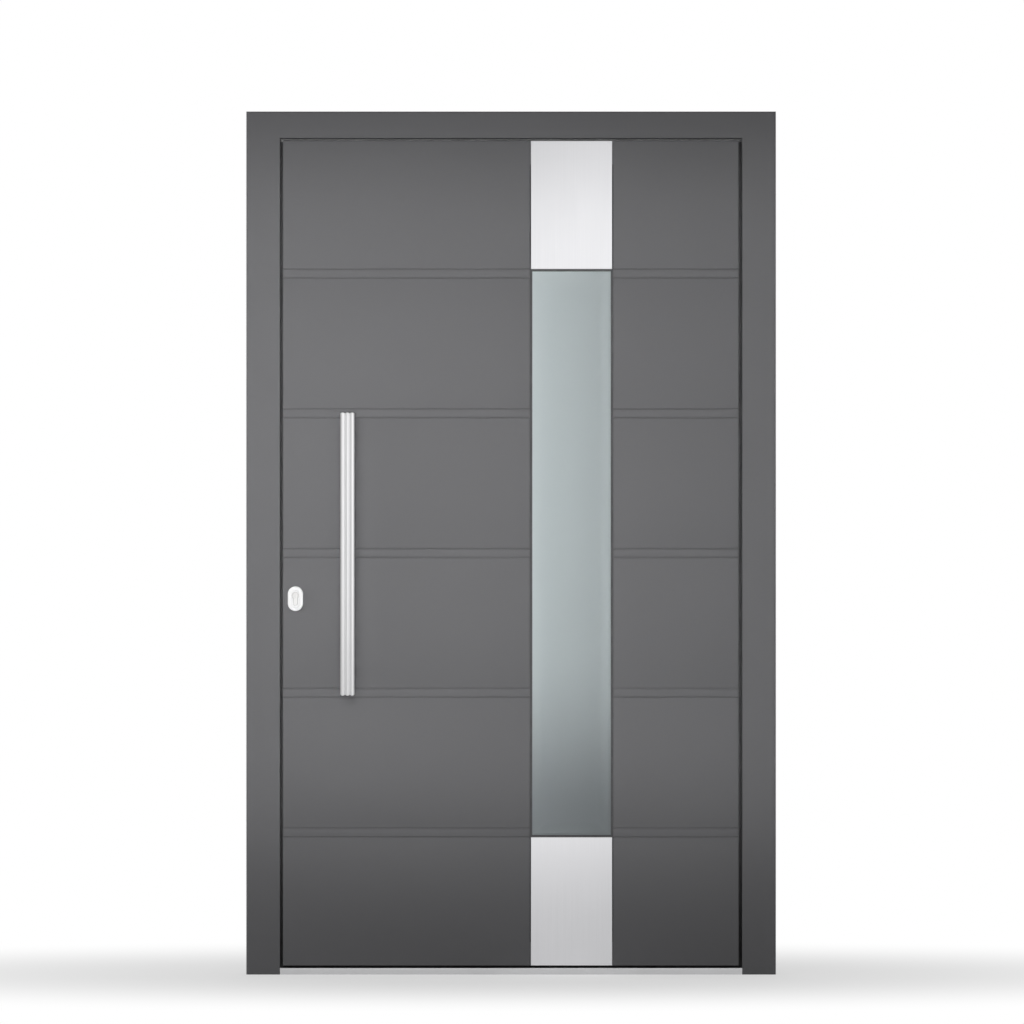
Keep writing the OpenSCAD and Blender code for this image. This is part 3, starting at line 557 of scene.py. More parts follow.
def facingSheet(name, node, grooved, facesOut, slot="leaf_paint"):
    # depth behind the face: a quarter circle along the edges, cosine dips in the grooves
    low, high = span(node)
    radius, half = facing["edge"], facing["grooveWidth"] / 2
    x, z = edgeSamples(low[0], high[0], radius), edgeSamples(low[2], high[2], radius)
    centres = grooveHeights()
    if grooved:
        dips = (centres[:, None] + np.linspace(-half, half, facing["grooveSteps"] + 1)).ravel()
        z = np.sort(np.concatenate([z, dips]))
    lapX = np.clip(radius - np.minimum(x - low[0], high[0] - x), 0, None)[None, :]
    lapZ = np.clip(radius - np.minimum(z - low[2], high[2] - z), 0, None)[:, None]
    depth = radius - np.sqrt(np.clip(radius ** 2 - lapX ** 2 - lapZ ** 2, 0, None))
    if grooved:
        fromGroove = np.abs(z[:, None] - centres).min(1)
        dip = np.where(fromGroove < half, np.cos(fromGroove / half * math.pi / 2) ** 2, 0)
        depth = depth + facing["grooveDepth"] * dip[:, None]
    depth = np.pad(depth, 1, constant_values=high[1] - low[1])       # an outer ring lies on the back
    gridX, gridZ = np.meshgrid(np.pad(x, 1, "edge"), np.pad(z, 1, "edge"))
    surface = np.stack([gridX, low[1] + depth if facesOut else high[1] - depth, gridZ], -1)
    back = np.concatenate([surface[0], surface[1:, -1], surface[-1, -2::-1], surface[-2:0:-1, 0]])
    Shell().grid(surface, loopCols=False).cap(back).piece(name, "leaf", slot, node)


facingSheet("outerSheetLock", "sheet_outer_lock", True, True)
facingSheet("outerSheetHinge", "sheet_outer_hinge", True, True)
facingSheet("innerSheetLock", "sheet_inner_lock", True, False)
facingSheet("innerSheetHinge", "sheet_inner_hinge", True, False)
facingSheet("outerPlateTop", "plate_outer_top", False, True, "brushed_plates")
facingSheet("outerPlateBottom", "plate_outer_bottom", False, True, "brushed_plates")


def innerPlates():
    # one plate above and one below the glass, on the inside face
    low, high = span("plates_inner")
    glassLow, glassHigh = span("glazing_gasket")
    rows = roundedEdge(high[1] - low[1], facing["edge"], facing["edgeSteps"])
    shell = Shell()
    for bottom, top in ((low[2], glassLow[2]), (glassHigh[2], high[2])):
        place = ((low[0] + high[0]) / 2, low[1], (bottom + top) / 2)
        shell.slab(inward, place, roundRect(high[0] - low[0], top - bottom, 0, 0), rows)
    shell.piece("innerPlates", "leaf", "brushed_plates", "plates_inner")


innerPlates()
print("sheets and plates")

# Glass: the outer pane has a ground bevel all round

pane = {"bevelWidth": 5 * mm, "bevelDepth": 0.8 * mm, "arris": 0.3 * mm, "corner": 0.5 * mm}


def outerPane():
    low, high = span("pane_outer")
    (x, _, z), (width, thick, height), arris = (low + high) / 2, high - low, pane["arris"]
    rows = [(arris, 0), (0, arris), (0, thick - pane["bevelDepth"]), (pane["bevelWidth"], thick)]
    shell = Shell().slab(outward, (x, high[1], z), roundRect(width, height, pane["corner"], 3), rows)
    shell.piece("outerPane", "leaf", "satin_glass", "pane_outer", sharpAngle=3)


outerPane()


def ringAround(section, low, high, bottomShare=1.0):
    # a section of (outward, y) points carried round an upright rectangle, mitred at its corners
    out, y = section[:, 0], section[:, 1]
    x = np.stack([low[0] - out, high[0] + out, high[0] + out, low[0] - out], 1)
    z = np.stack([low[2] - out * bottomShare, low[2] - out * bottomShare, high[2] + out, high[2] + out], 1)
    return np.stack([x, np.repeat(y[:, None], 4, 1), z], -1)


glazingSeal = {"lip": 1.1 * mm, "groove": 0.5 * mm, "radii": (0, 0.2, 0.5, 0.2, 0.2, 0.3, 1, 0.5, 0)}


def glazingGasket():
    # rubber between glass and sheets: a round shoulder, a fine groove, and a lip that wipes the glass
    low, high = span("glazing_gasket")
    paneLow, paneHigh = span("pane_outer")
    wide, front, back = paneLow[0] - low[0], low[1], high[1]
    g, lip = glazingSeal["groove"], glazingSeal["lip"]
    corners = [(0, back), (0, front + 0.5 * g), (lip, front), (2 * lip, front + g),
               (2 * lip + g, front + 1.6 * g), (2 * lip + 2 * g, front + 0.2 * g), (wide - lip, front),
               (wide, front + lip), (wide, back)]
    section = roundOff(corners, glazingSeal["radii"], 4)
    shell = Shell().grid(ringAround(section, paneLow, paneHigh), True)
    shell.piece("glazingGasket", "leaf", "gasket_rubber", "glazing_gasket")


glazingGasket()

bead = {"cover": 3 * mm, "barWidth": 8 * mm, "joint": 0.3 * mm, "radii": (0.5, 0.3, 0, 0.3, 1.6, 1.6)}


def glazingBeads():
    # four clip-in bars round the inner pane; the upright ones run through
    low, high = span("glazing_beads")
    paneLow, paneHigh = span("pane_outer")
    centreX, centreZ = (low[0] + high[0]) / 2, (low[2] + high[2]) / 2
    halfW, halfH = (paneHigh[0] - paneLow[0]) / 2, (paneHigh[2] - paneLow[2]) / 2
    deep, face, top, bar = low[1], high[1] - bead["cover"], high[1], bead["barWidth"]
    lap, inX = (high[0] - low[0]) / 2 - halfW, halfW - bar - bead["joint"]
    corners = [(-bar, deep), (0, deep), (0, face), (lap, face), (lap, top), (-bar, top)]
    section = roundOff(corners, bead["radii"], 5)
    shell = Shell()
    for side in (-1, 1):
        upright = np.column_stack([centreX + side * (halfW + section[:, 0]), section[:, 1]])
        shell.tower(along(upward, upright, low[2], high[2]))
        flat = np.column_stack([section[:, 1], centreZ + side * (halfH + section[:, 0])])
        shell.tower(along(rightward, flat, centreX - inX, centreX + inX))
    shell.piece("glazingBeads", "leaf", "leaf_paint", "glazing_beads")


glazingBeads()
print("glazing")

# Pull bar: a flat-backed bar with three round flutes side by side, each with a round end

pull = {"flutes": 3, "fluteRadius": 8.0 * mm, "edge": 0.9 * mm, "edgeSteps": 5, "fluteSteps": 16,
        "turnSteps": 5}


def pullBar():
    # closed rings across the bar's depth and length, side by side along X; the arc of a flute sets how far
    # each one reaches to the front and to both ends
    low, high = span("pull_bar")
    centre, halfLong = (low + high) / 2, (high[2] - low[2]) / 2
    pitch, r, edge = (high[0] - low[0]) / pull["flutes"], pull["fluteRadius"], pull["edge"]
    across = np.linspace(-pitch / 2, pitch / 2, pull["fluteSteps"] + 1)
    middles = (np.arange(pull["flutes"]) - (pull["flutes"] - 1) / 2) * pitch
    x, a = (middles[:, None] + across).ravel(), np.tile(across, pull["flutes"])
    turn = quarterTurn(pull["edgeSteps"])[:-1]
    inner = (x > x[0] + edge) & (x < x[-1] - edge)
    sideX = x[0] + edge - edge * np.cos(turn)
    sideIn = edge * (1 - np.sin(turn))               # the rings at the bar's sides shrink round the edge
    sideA = np.abs(sideX - middles[0])
    x = np.concatenate([sideX, x[inner], -sideX[::-1]])
    a = np.concatenate([sideA, np.abs(a[inner]), sideA[::-1]])
    inset = np.concatenate([sideIn, np.zeros(inner.sum()), sideIn[::-1]])
    drop = r - np.sqrt(r ** 2 - a ** 2)
    front, back = low[1] + drop + inset, high[1] - inset
    halfZ = halfLong - drop - inset
    rings = [level(roundRect(b - f, 2 * h, edge - e, pull["turnSteps"])() + ((f + b) / 2, centre[2]), at)
             for at, f, b, h, e in zip(centre[0] + x, front, back, halfZ, inset)]
    shell = Shell().tower(onto(np.stack(rings), rightward))
    shell.piece("pullBar", "leaf", "handle_steel", "pull_bar", sharpAngle=50)


pullBar()

posts = {"radius": 10 * mm, "footRadius": 14 * mm, "footHeight": 3 * mm, "edge": 0.8 * mm,
         "fillet": 1.2 * mm, "neck": 1.0 * mm}


def pullBarPosts():
    # turned posts: a flat foot with a broken edge, a small fillet, and a waist where the bar sits
    low, high = span("pull_bar_posts")
    barCentre = middle("pull_bar")
    length, r, foot = high[1] - low[1], posts["radius"], posts["footRadius"]
    f, h, neck = posts["fillet"], posts["footHeight"], posts["neck"]
    turn = quarterTurn(5)
    cove = np.column_stack([r + f - f * np.sin(turn), h - f * np.cos(turn)])
    waist = [(r, length - 4 * neck), (r - neck, length - 3 * neck), (r - neck, length), (0, length)]
    profile = np.vstack([[(0, 0), (foot, 0)], outerCorner(foot, h - f, posts["edge"], 5), cove, waist])
    reach = (high[2] - low[2]) / 2 - foot
    shell = Shell()
    for side in (-1, 1):
        origin = (barCentre[0], high[1], barCentre[2] + side * reach)
        shell.grid(onto(turned(profile), outward, origin))
    shell.piece("pullBarPosts", "leaf", "handle_steel", "pull_bar_posts")


pullBarPosts()
print("pull bar")

# Lock: an oval escutcheon with the key cylinder in it, and the inner plate with the lever

rosette = {"dome": 0.4 * mm, "edge": 1.5 * mm, "grooveInset": 9.2 * mm, "grooveWidth": 0.9 * mm,
           "grooveDepth": 0.5 * mm, "clearance": 0.3 * mm, "points": 160}
keyway = {"radius": keyRadius, "web": 10 * mm, "drop": 8.0 * mm, "plug": 6.6 * mm, "slotWidth": 2.4 * mm,
          "slotHeight": 9.0 * mm, "slotDepth": 6.0 * mm, "slotEdge": 0.2 * mm, "slotFlare": 0.25 * mm,
          "groove": 0.35 * mm, "chamfer": 0.4 * mm}


def overCos(size, turn):
    # how far a ray in the direction turn goes to an upright line at this distance
    return size / np.maximum(np.abs(np.cos(turn)), 1e-9)


def overSin(size, turn):
    # and to a level line
    return size / np.maximum(np.abs(np.sin(turn)), 1e-9)


def stadiumReach(turn, halfWidth, halfHeight):
    # distance from the middle to a round-ended outline in the direction turn
    straight = halfHeight - halfWidth
    side = overCos(halfWidth, turn)
    inside = halfWidth ** 2 - straight ** 2 * np.cos(turn) ** 2
    end = straight * np.abs(np.sin(turn)) + np.sqrt(np.clip(inside, 0, None))
    return np.where(np.abs(side * np.sin(turn)) <= straight, side, end)


def cylinderReach(turn, grown=0.0):
    # the same for the key cylinder: a circle above the middle and a round-ended web that hangs below it
    r, half, drop = keyway["radius"] + grown, keyway["web"] / 2 + grown, keyway["drop"]
    lowest = -(drop + keyway["radius"] + grown) + half
    circle = drop * np.sin(turn) + np.sqrt(np.clip(r ** 2 - (drop * np.cos(turn)) ** 2, 0, None))
    side = overCos(half, turn)
    end = lowest * np.sin(turn) + np.sqrt(np.clip(half ** 2 - (lowest * np.cos(turn)) ** 2, 0, None))
    under = np.where(side * np.sin(turn) >= lowest, side, end)
    return np.maximum(circle, np.where(np.sin(turn) < 0, under, np.minimum(side, overSin(drop, turn))))


def openPlate(turn, halfWidth, halfHeight, rows, thick):
    # rings of a round-ended plate, one for each (inset, height) row, then over a chamfer into the opening
    opening, chamfer = cylinderReach(turn, rosette["clearance"]), keyway["chamfer"]
    rings = [(stadiumReach(turn, halfWidth - inset, halfHeight - inset), height) for inset, height in rows]
    return polar(turn, [*rings, (opening + chamfer, thick), (opening, thick - chamfer), (opening, 0.0)])


def escutcheon():
    # rings run from the wall up over a rounded edge, across a slightly domed face with one fine groove
    low, high = span("escutcheon_outer")
    (x, _, z), (halfW, halfThick, halfH) = (low + high) / 2, (high - low) / 2
    thick = 2 * halfThick
    g, w, d = rosette["grooveInset"], rosette["grooveWidth"], rosette["grooveDepth"]
    rows = [*roundedEdge(thick - rosette["dome"], rosette["edge"], 8), (g - w, thick),
            (g - w / 2, thick - 0.2 * d), (g, thick - d), (g + w / 2, thick - 0.2 * d), (g + w, thick)]
    surface = openPlate(fullTurn(rosette["points"]), halfW, halfH, rows, thick)
    shell = Shell().grid(onto(surface, outward, (x, high[1], z)), True)
    shell.piece("escutcheonOuter", "leaf", "satin_nickel", "escutcheon_outer")


escutcheon()


def keyCylinder():
    # from the middle out: slot floor, slot walls, plug, ring groove, broken edge, back along the body
    low, high = span("lock_cylinder")
    turn = fullTurn(rosette["points"])
    midZ, body = (low[2] + high[2]) / 2, (high[1] - low[1]) / 2
    slot = np.minimum(overCos(keyway["slotWidth"] / 2, turn), overSin(keyway["slotHeight"] / 2, turn))
    plug, g, c = np.full(len(turn), keyway["plug"]), keyway["groove"], keyway["chamfer"]
    aroundAxis = [(0 * turn, -keyway["slotDepth"]), (slot, -keyway["slotDepth"]), (slot, -keyway["slotEdge"]),
                  (slot + keyway["slotFlare"], 0.0), (plug - g, 0.0), (plug - 0.5 * g, -g),
                  (plug + 0.5 * g, -g), (plug + g, 0.0)]
    outline = [(cylinderReach(turn, -c), 0.0), (cylinderReach(turn), -c), (cylinderReach(turn), -body)]
    rings = np.concatenate([polar(turn, aroundAxis, cylinderAxis[2] - midZ), polar(turn, outline)])
    shell = Shell()
    for wallY, wall in ((low[1], outward), (high[1], inward)):
        shell.grid(onto(rings, wall, ((low[0] + high[0]) / 2, wallY, midZ)))
    shell.piece("keyCylinder", "leaf", "cylinder_nickel", "lock_cylinder")


keyCylinder()

innerPlate = {"edge": 3.0 * mm, "collarRadius": 12.5 * mm, "collarHeight": 3.0 * mm, "collarEdge": 1.0 * mm,
              "sunk": 0.5 * mm}
lever = {"radius": 9 * mm, "bend": 17 * mm, "flatten": 0.86, "power": 2.5, "endRound": 4.5 * mm, "around": 48,
         "neck": 6 * mm}


def leverBackplate():
    # rings round the key cylinder, with more points in the directions of the plate's two round ends
    low, high = span("lever_backplate")
    x, _, keyZ = middle("lock_cylinder")
    thick, halfW, up, down = high[1] - low[1], (high[0] - low[0]) / 2, high[2] - keyZ, keyZ - low[2]
    arc = np.linspace(0, math.pi, 25)
    ends = [sign * np.arctan2(far - halfW + halfW * np.sin(arc), halfW * np.cos(arc))
            for sign, far in ((1, up), (-1, down))]
    turn = np.concatenate([fullTurn(rosette["points"]), *ends]) % (2 * math.pi)
    turn = np.unique(np.round(turn, 5))
    surface = openPlate(turn, halfW, np.where(np.sin(turn) > 0, up, down),
                        roundedEdge(thick, innerPlate["edge"], 8), thick)
    shell = Shell().grid(onto(surface, inward, (x, low[1], keyZ)), True)
    r, h, sunk = innerPlate["collarRadius"], innerPlate["collarHeight"], innerPlate["sunk"]
    collar = np.vstack([[(0, -sunk), (r, -sunk)], outerCorner(r, h, innerPlate["collarEdge"], 4), [(0, h)]])
    shell.grid(onto(turned(collar), inward, (x, high[1], middle("lever")[2])))
    shell.piece("leverBackplate", "leaf", "handle_steel", "lever_backplate")


def leverHandle():
    # an oval section carried straight out of the plate, round a bend and along the leaf; its end turns over
    low, high = span("lever")
    r, bend, power, e = lever["radius"], lever["bend"], lever["power"], lever["endRound"]
    startX, startY, gripY, endX = low[0] + r, low[1], high[1] - r, high[0]
    turn, over = quarterTurn(14), quarterTurn(6)
    grip = np.ones(len(over) + 1)
    pathX = [[startX, startX], startX + bend * (1 - np.cos(turn)), endX - e + e * np.sin(over), [endX]]
    pathY = [[startY, startY + lever["neck"]], gripY - bend + bend * np.sin(turn), gripY * grip]
    pathX, pathY = np.concatenate(pathX), np.concatenate(pathY)
    lean = np.concatenate([[0, 0], turn, math.pi / 2 * grip])
    size = np.concatenate([np.ones(2 + len(turn)), 1 - (e - e * np.cos(over)) / r, [0.0]])[:, None, None]
    flat = (1 - (1 - lever["flatten"]) * lean / (math.pi / 2))[:, None, None]
    around = fullTurn(lever["around"])
    reach = r * (np.abs(np.cos(around)) ** power + np.abs(np.sin(around)) ** power) ** (-1 / power)
    across = np.stack([np.cos(lean), -np.sin(lean), 0 * lean], -1)[:, None, :]
    u, v = reach * np.cos(around), reach * np.sin(around)
    centres = np.stack([pathX, pathY, np.full(len(pathX), (low[2] + high[2]) / 2)], -1)[:, None, :]
    surface = centres + size * flat * u[None, :, None] * across + size * v[None, :, None] * zAxis
    shell = Shell().grid(surface).cap(surface[0])
    shell.piece("leverHandle", "leaf", "handle_steel", "lever", finish=leverSteel, sharpAngle=50)


leverBackplate()
leverHandle()

screws = {"head": 4.2 * mm, "low": 0.5 * mm, "raised": 1.5 * mm, "edge": 0.35 * mm, "socket": 1.9 * mm,
          "floor": 0.05 * mm, "sunk": 0.5 * mm, "lobes": (0, 0.13, 0.13, 0.05, 0, 0, 0, 0, 0)}


def screwRow(name, body, slot, wall, spots, proud=screws["low"]):
    # flat or raised heads with six-lobed sockets
    r, edge, socket, sunk = screws["head"], screws["edge"], screws["socket"], screws["sunk"]
    dome = 0.5 * (proud - screws["low"])
    profile = [(0, screws["floor"]), (socket * 0.9, screws["floor"]), (socket, proud), (socket * 1.3, proud),
               (0.75 * r, proud - 0.4 * dome), (r - edge, proud - dome), (r, proud - dome - edge), (r, -sunk),
               (0, -sunk)]
    head = turned(profile, 36, screws["lobes"])
    shell = Shell()
    for spot in spots:
        shell.grid(onto(head, wall, spot))
    shell.piece(name, body, slot)


bolts = {"latchTall": 32 * mm, "latchOverLever": 25 * mm, "boltTall": 44 * mm, "boltUnderKey": 52 * mm,
         "corner": 1.5 * mm, "edge": 0.9 * mm, "flush": 0.1 * mm}
lockScrews = {"fromEnd": 14 * mm, "count": 6, "overLatch": 34 * mm, "underBolt": 40 * mm, "overBolt": 62 * mm,
              "fromHook": 40 * mm}


def lockHardware():
    # bolts with broken edges, drawn back flush, and the screws of the faceplate and the strikes
    low, high = span("lock_bolts")
    keyZ = middle("lock_cylinder")[2]
    (faceX, _, faceLow), (_, _, faceHigh) = span("lock_faceplate")
    (_, _, strikeLow), (strikeX, _, strikeHigh) = span("strike_plates")
    y, tall = (low[1] + high[1]) / 2, bolts["boltTall"]
    spread = (high[2] - low[2] - tall) / 2
    latch, bolt = middle("lever")[2] + bolts["latchOverLever"], keyZ - bolts["boltUnderKey"]
    places = ((latch, bolts["latchTall"]), (bolt, tall), (keyZ + spread, tall), (keyZ - spread, tall))
    rows = roundedEdge(high[0] - low[0] - bolts["flush"], bolts["edge"], 4)
    shell = Shell()
    for z, height in places:
        ring = roundRect(high[1] - low[1], height, bolts["corner"], 4)
        shell.slab(leftward, (high[0], y, z), ring, rows)
    shell.piece("lockBolts", "leaf", "lock_steel", "lock_bolts")
    gap, hook = lockScrews["fromEnd"], lockScrews["fromHook"]
    heights = np.linspace(faceLow + gap, faceHigh - gap, lockScrews["count"])
    screwRow("faceplateScrews", "leaf", "lock_steel", leftward, [(faceX, y, z) for z in heights])
    heights = (strikeLow + gap, strikeHigh - gap, bolt + lockScrews["overBolt"],
               bolt - lockScrews["underBolt"], latch + lockScrews["overLatch"], keyZ + spread - hook,
               keyZ - spread + hook)
    screwRow("strikeScrews", "frame", "lock_steel", rightward, [(strikeX, y, z) for z in heights])


lockHardware()
print("lock and lever")

# Hinges: three-part barrels with capped pins, flaps screwed to frame and leaf

hinge = {"count": 3, "knuckle": 50 * mm, "gap": 0.5 * mm, "pin": 5 * mm, "play": 0.05 * mm,
         "chamfer": 0.7 * mm, "flap": 4 * mm, "flapEdge": 0.9 * mm, "flapCorner": 5 * mm,
         "webFoot": 10 * mm, "webInset": 0.3 * mm, "webReach": 0.97, "webUnder": 1 * mm,
         "webRadii": (0, 0, 5, 0.3, 0), "capDome": 1.5 * mm, "capRim": 0.4 * mm, "screwShare": 0.62,
         "screwUp": 13 * mm, "frameScrews": 9 * mm, "leafScrews": 8 * mm}


def hingePart(shell, side, z0, z1, axis, barrel, faceX, flapEndX):
    # a tube round the pin, a slanted web down to the wall, and a flap with round corners
    c, hole = hinge["chamfer"], hinge["pin"] + hinge["play"]
    loop = [(hole, z0), (barrel - c, z0), (barrel, z0 + c), (barrel, z1 - c), (barrel - c, z1), (hole, z1)]
    shell.grid(turned(loop) + np.array([*axis, 0]), True)
    wall, top, under = insideY, insideY + hinge["flap"], axis[1] - hinge["webUnder"]
    footX, webX = faceX + side * hinge["webFoot"], axis[0] + side * barrel * hinge["webReach"]
    inset = hinge["webInset"]
    corners = [(faceX, wall), (footX, wall), (footX, top), (webX, under), (faceX, under)]
    shell.tower(along(upward, roundOff(corners, hinge["webRadii"], 6), z0 + inset, z1 - inset))
    ring = roundRect(abs(flapEndX - faceX), z1 - z0, hinge["flapCorner"], 8)
    place = ((faceX + flapEndX) / 2, wall, (z0 + z1) / 2)
    shell.slab(inward, place, ring, roundedEdge(hinge["flap"], hinge["flapEdge"], 4))


def hinges():
    (leafEndX, _, leafLow), (_, _, leafHigh) = span("hinge_leaf_parts")
    pinLow, pinHigh = span("hinge_pins")
    frameEndX, _, frameHigh = span("hinge_frame_parts")[1]
    frameFace, leafFace = span("jamb_hinge_inner")[0][0], span("stile_hinge_inner")[1][0]
    half, gap, d, rim = hinge["knuckle"] / 2, hinge["gap"], hinge["capDome"], hinge["capRim"]
    heights = np.linspace(leafLow + half, leafHigh - half, hinge["count"])
    axis, barrel = (pinLow + pinHigh)[:2] / 2, (pinHigh[0] - pinLow[0]) / 2
    halfBarrel, top = frameHigh - heights[-1], pinHigh[2] - heights[-1]
    capped = np.vstack([[(hinge["pin"], 0), (hinge["pin"], halfBarrel), (barrel - rim, halfBarrel),
                         (barrel, halfBarrel + rim)], outerCorner(barrel, top, d, 5), [(0, top)]])
    profile = np.vstack([capped[::-1] * (1, -1), capped])
    frameShell, leafShell, pinShell = Shell(), Shell(), Shell()
    for z in heights:
        for z0, z1 in ((z - halfBarrel, z - half - gap), (z + half + gap, z + halfBarrel)):
            hingePart(frameShell, 1, z0, z1, axis, barrel, frameFace, frameEndX)
        hingePart(leafShell, -1, z - half, z + half, axis, barrel, leafFace, leafEndX)
        pinShell.grid(turned(profile) + np.array([*axis, z]))
    frameShell.piece("hingeFrameParts", "frame", "hinge_steel", "hinge_frame_parts")
    leafShell.piece("hingeLeafParts", "leaf", "hinge_steel", "hinge_leaf_parts")
    pinShell.piece("hingePins", "frame", "hinge_steel", "hinge_pins")
    upFrame, asideFrame, asideLeaf = (halfBarrel + half + gap) / 2, hinge["frameScrews"], hinge["leafScrews"]
    rows = (("hingeFrameScrews", "frame", frameFace, frameEndX, upFrame, asideFrame),
            ("hingeLeafScrews", "leaf", leafFace, leafEndX, hinge["screwUp"], asideLeaf))
    for name, body, face, end, up, aside in rows:
        x = face + hinge["screwShare"] * (end - face)
        spots = [(x + dx, insideY + hinge["flap"], z + dz)
                 for z in heights for dz in (-up, up) for dx in (-aside, aside)]
        screwRow(name, body, "hinge_steel", inward, spots, screws["raised"])


hinges()
print("hinges")

# Threshold: an outer lip with ribs on top and a ribbed floor behind it

sill = {"ribs": 5, "ribDepth": 0.7 * mm, "ribSteps": 8, "floorRibs": 9, "floorTop": 5 * mm, "lipEdge": 3 * mm,
        "flatEnd": 2 * mm, "floorFront": 6 * mm, "floorBack": 4 * mm, "floorEdge": 0.5 * mm, "screws": 5,
        "screwSpread": 0.5, "screwGap": 3.0 * mm, "screwSunk": 0.35 * mm}


def ribbedTop(y0, y1, top, count):
    # height over the width: shallow round-bottomed grooves, count of them, between flat ribs
    y = np.linspace(y0, y1, count * sill["ribSteps"] + 1)
    wave = 0.5 - 0.5 * np.cos((y - y0) / (y1 - y0) * 2 * math.pi * count)
    return np.column_stack([y, top - sill["ribDepth"] * np.clip(wave * 2 - 1, 0, 1)])


def threshold():
    low, high = span("threshold")
    lipX, backY = span("jamb_hinge_outer")[0][0], span("jamb_hinge_outer")[1][1]
    floorTop, lipTop, e = sill["floorTop"], high[2], sill["lipEdge"]
    nose = outerCorner(-low[1], lipTop, e, 7) * (-1, 1)
    ribs = ribbedTop(low[1] + e + sill["flatEnd"], backY - sill["flatEnd"], lipTop, sill["ribs"])
    lip = np.vstack([[(low[1], 0)], nose, ribs, [(backY, lipTop), (backY, 0)]])
    ribs = ribbedTop(backY + sill["floorFront"], high[1] - sill["floorBack"], floorTop, sill["floorRibs"])
    edge = sill["floorEdge"]
    floor = np.vstack([[(backY, 0), (backY, floorTop)], ribs,
                       [(high[1] - edge, floorTop), (high[1], floorTop - edge), (high[1], 0)]])
    shell = Shell()
    for outline, start, end in ((lip, -lipX, lipX), (floor, low[0], high[0])):
        shell.tower(along(rightward, outline, start, end))
    shell.piece("thresholdProfile", "frame", "sill_aluminium", "threshold")
    y, z = backY + sill["screwGap"] + screws["head"], floorTop - sill["screwSunk"]
    spots = [(x, y, z) for x in np.linspace(-sill["screwSpread"], sill["screwSpread"], sill["screws"])]
    screwRow("thresholdScrews", "frame", "sill_aluminium", upward, spots)


threshold()


def bothSides(half, width):
    # half a section from the left, and its mirror image
    half = np.array(half)
    return np.vstack([half, (width, 0) + half[::-1] * (-1, 1)])


stopSeal = {"width": 10 * mm, "bottomWidth": 5 * mm, "radii": (0, 0.4, 0.3, 0.8, 1.4, 1.4, 0.8, 0.3, 0.4, 0),
            "side": ((0, 0), (0, 0.35), (0.18, 0.5), (0.12, 0.8), (0.3, 1))}      # shares of width and depth


def stopGasket():
    # a hollow-looking bulb: a flat base, a waist and a round crown that meets the leaf
    low, high = span("stop_gasket")
    w, bottom = stopSeal["width"], stopSeal["bottomWidth"]
    half = np.array(stopSeal["side"]) * (w, high[1] - low[1]) + (0, low[1])
    section = roundOff(bothSides(half, w), stopSeal["radii"], 4)
    surface = ringAround(section, low + np.array([w, 0, bottom]), high - np.array([w, 0, w]), bottom / w)
    Shell().grid(surface, True).piece("stopGasket", "frame", "gasket_rubber", "stop_gasket")


leafSeal = {"width": 6 * mm, "height": 5.7 * mm, "back": 1.5 * mm, "wall": 3 * mm, "finTop": 1.5 * mm,
            "between": 2 * mm, "radii": (0, 0.3, 0.4, 0.4, 0.5, 0.5, 0.4, 0.4, 0.3, 0), "ringHeight": 3 * mm,
            "ringFoot": 0.45, "toLip": 1 * mm}


def leafSeals():
    # a strip with two soft fins under the leaf, and a low round ring behind the joint round its front
    low, high = span("leaf_seals")
    flangeY = span("stile_lock_inner")[0][1]
    wide, z0 = leafSeal["width"], low[2]
    z1, fin = z0 + leafSeal["height"], wide / 2
    half = [(0, z1), (0, z1 - leafSeal["finTop"]), (0.1 * fin, z0), (0.5 * fin, z0),
            (0.9 * fin, z1 - leafSeal["between"])]
    front = (flangeY + insideY - leafSeal["wall"]) / 2 - wide / 2 + leafSeal["back"]
    outline = roundOff(bothSides(half, wide) + (front, 0), leafSeal["radii"], 4)
    shell = Shell().tower(along(rightward, outline, low[0], high[0]))
    (x0, _, bottom), (x1, _, top) = span("sheet_outer_lock")[0], span("sheet_outer_hinge")[1]
    gap = leafSeal["toLip"]
    lipX = span("jamb_lock_outer")[1][0] + gap
    sillTop, lipTop = span("threshold")[1][2] + gap, span("head_outer")[0][2] - gap
    inner = np.array([(x0, bottom), (x1, bottom), (x1, top), (x0, top)])
    outer = np.array([(lipX, sillTop), (-lipX, sillTop), (-lipX, lipTop), (lipX, lipTop)])
    turn, foot = np.linspace(0, math.pi, 9), leafSeal["ringFoot"]
    share = np.concatenate([[0], 0.5 - 0.5 * np.cos(turn), [1]])
    rise = np.concatenate([[0], foot + (1 - foot) * np.sin(turn), [0]]) * leafSeal["ringHeight"]
    loops = inner + share[:, None, None] * (outer - inner)
    ring = np.stack([loops[..., 0], np.repeat(flangeY - rise[:, None], 4, 1), loops[..., 1]], -1)
    shell.grid(ring, True)
    shell.piece("leafSeals", "leaf", "gasket_rubber", "leaf_seals", finish=sealRubber)


stopGasket()
leafSeals()
print("threshold and seals")

# Studio: pale floor, white all round, soft panels in front, beside and behind

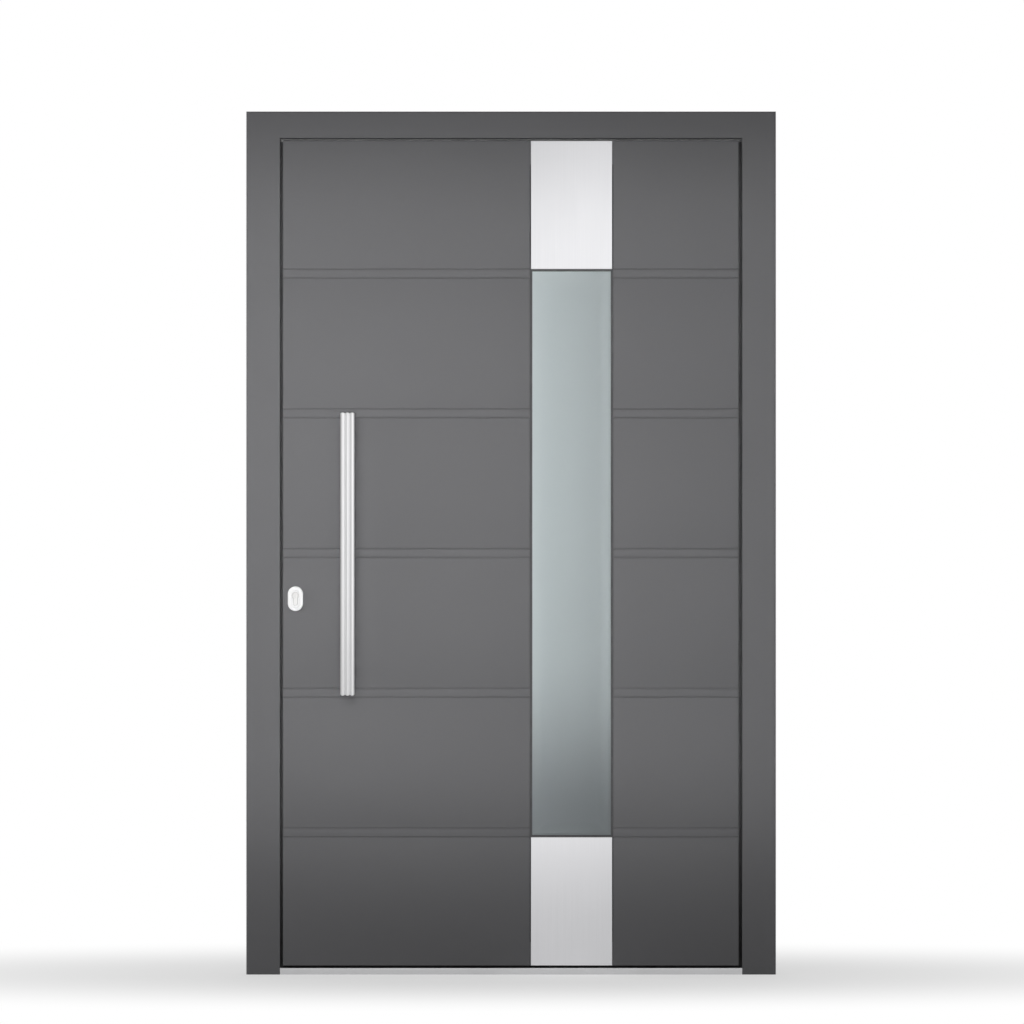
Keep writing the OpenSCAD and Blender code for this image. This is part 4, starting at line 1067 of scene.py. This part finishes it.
studio = {"worldDiffuse": 0.24, "worldGloss": 0.62, "worldThrough": 0.05, "floorGloss": 0.41,
          "floorThrough": 0.9, "floorTone": 0.80, "floorFade": (0.3, 1.6), "floorNear": 0.55,
          "floorOval": 1.6, "floorSize": 60.0}
panels = {     # each faces into the house until it is turned, and lights one kind of ray
    "wide": {"at": (0.25, -1.70, 1.22), "size": (2.42, 1.78), "spread": 22, "power": 4.2},
    "key": {"at": (-0.75, -2.06, 1.555), "size": (1.37, 0.77), "spread": 85, "power": 3.72, "turn": -4.6,
            "lean": 7.3},
    "side": {"at": (-3.2, -1.2, 1.25), "size": (1.2, 2.2), "spread": 70, "power": 4.5, "turn": -78},
    "fill": {"at": (3.2, 1.5, 1.25), "size": (1.2, 2.2), "spread": 70, "power": 4.5, "turn": 118},
    "sheen": {"at": (0.24, -1.54, 1.39), "size": (2.3, 1.68), "spread": 180, "power": 7.2, "lights": "glossy",
              "tilt": -12},
    "backdrop": {"at": (-0.37, 1.60, 1.24), "size": (1.33, 1.54), "spread": 180, "power": 1.97, "turn": 180,
                 "lights": "transmission", "shape": "ELLIPSE"},
    "inside": {"at": (0.0, 3.0, 1.5), "size": (2.2, 2.4), "spread": 80, "power": 12.0, "turn": 180},
    "insideSheen": {"at": (0.0, 2.4, 1.4), "size": (2.6, 2.2), "spread": 180, "power": 5.4, "turn": 180,
                    "lights": "glossy"},
}


def softPanel(name, at, size, spread, power, lights="diffuse", tilt=0, turn=0, lean=0, shape="RECTANGLE"):
    data = bpy.data.lights.new(name, "AREA")
    data.shape = shape
    data.size, data.size_y = size
    data.spread = math.radians(spread)
    data.energy = power
    lamp = placed(name, data)
    lamp.location = at
    lamp.rotation_euler = np.radians((90 - lean, tilt, turn))
    lamp.visible_camera = False
    for kind in ("diffuse", "glossy", "transmission"):
        setattr(lamp, "visible_" + kind, kind == lights)


def makeWorld():
    # white to the camera, a middle level to everything that is lit by it
    world = bpy.data.worlds.new("studioWorld")
    nodes = Nodes(world, "ShaderNodeOutputWorld")
    base, shiny, clear = studio["worldDiffuse"], studio["worldGloss"], studio["worldThrough"]
    strength = (nodes.rays("Camera") * (1 - base) + nodes.rays("Glossy") * (shiny - base)
                + nodes.rays("Transmission") * (clear - base) + base)
    background = nodes.node("ShaderNodeBackground", {}, {"Color": (1, 1, 1), "Strength": strength})
    nodes.feed(nodes.end, background)
    scene.world = world


def makeFloor():
    # pale floor: near the door it shows its shadow, farther off it is plain white to the camera
    half = studio["floorSize"] / 2
    corners = [(-half, -half, 0), (half, -half, 0), (half, half, 0), (-half, half, 0)]
    mesh = bpy.data.meshes.new("studioFloor")
    mesh.from_pydata(corners, [], [(0, 1, 2, 3)])
    finish = Finish("studioFloor", Roughness=0.9, Specular_IOR_Level=0.1)
    grey, near = (studio["floorTone"],) * 3, studio["floorNear"]
    finish.set(Base_Color=finish.tinted(finish.noise(60, 3.0) + 0.5, grey, 0.985, 1.015))
    distance = finish.length(finish.mapped((1 / studio["floorOval"], 1.0, 1.0)))
    fade = distance.between(*studio["floorFade"]) * (1 - near) + near
    white = finish.node("ShaderNodeEmission", {}, {})
    lit = finish.blend(finish.rays("Camera") * fade + finish.rays("Glossy") * studio["floorGloss"],
                       finish.surface, white)
    dark = finish.rays("Transmission") * studio["floorThrough"]      # to rays that come through the glass
    finish.feed(finish.end, finish.node("ShaderNodeMixShader", {}, [dark, lit]))
    mesh.materials.append(finish.material)
    placed("studioFloor", mesh)


makeWorld()
makeFloor()
for name, panel in panels.items():
    softPanel(name, **panel)
print("studio lit")
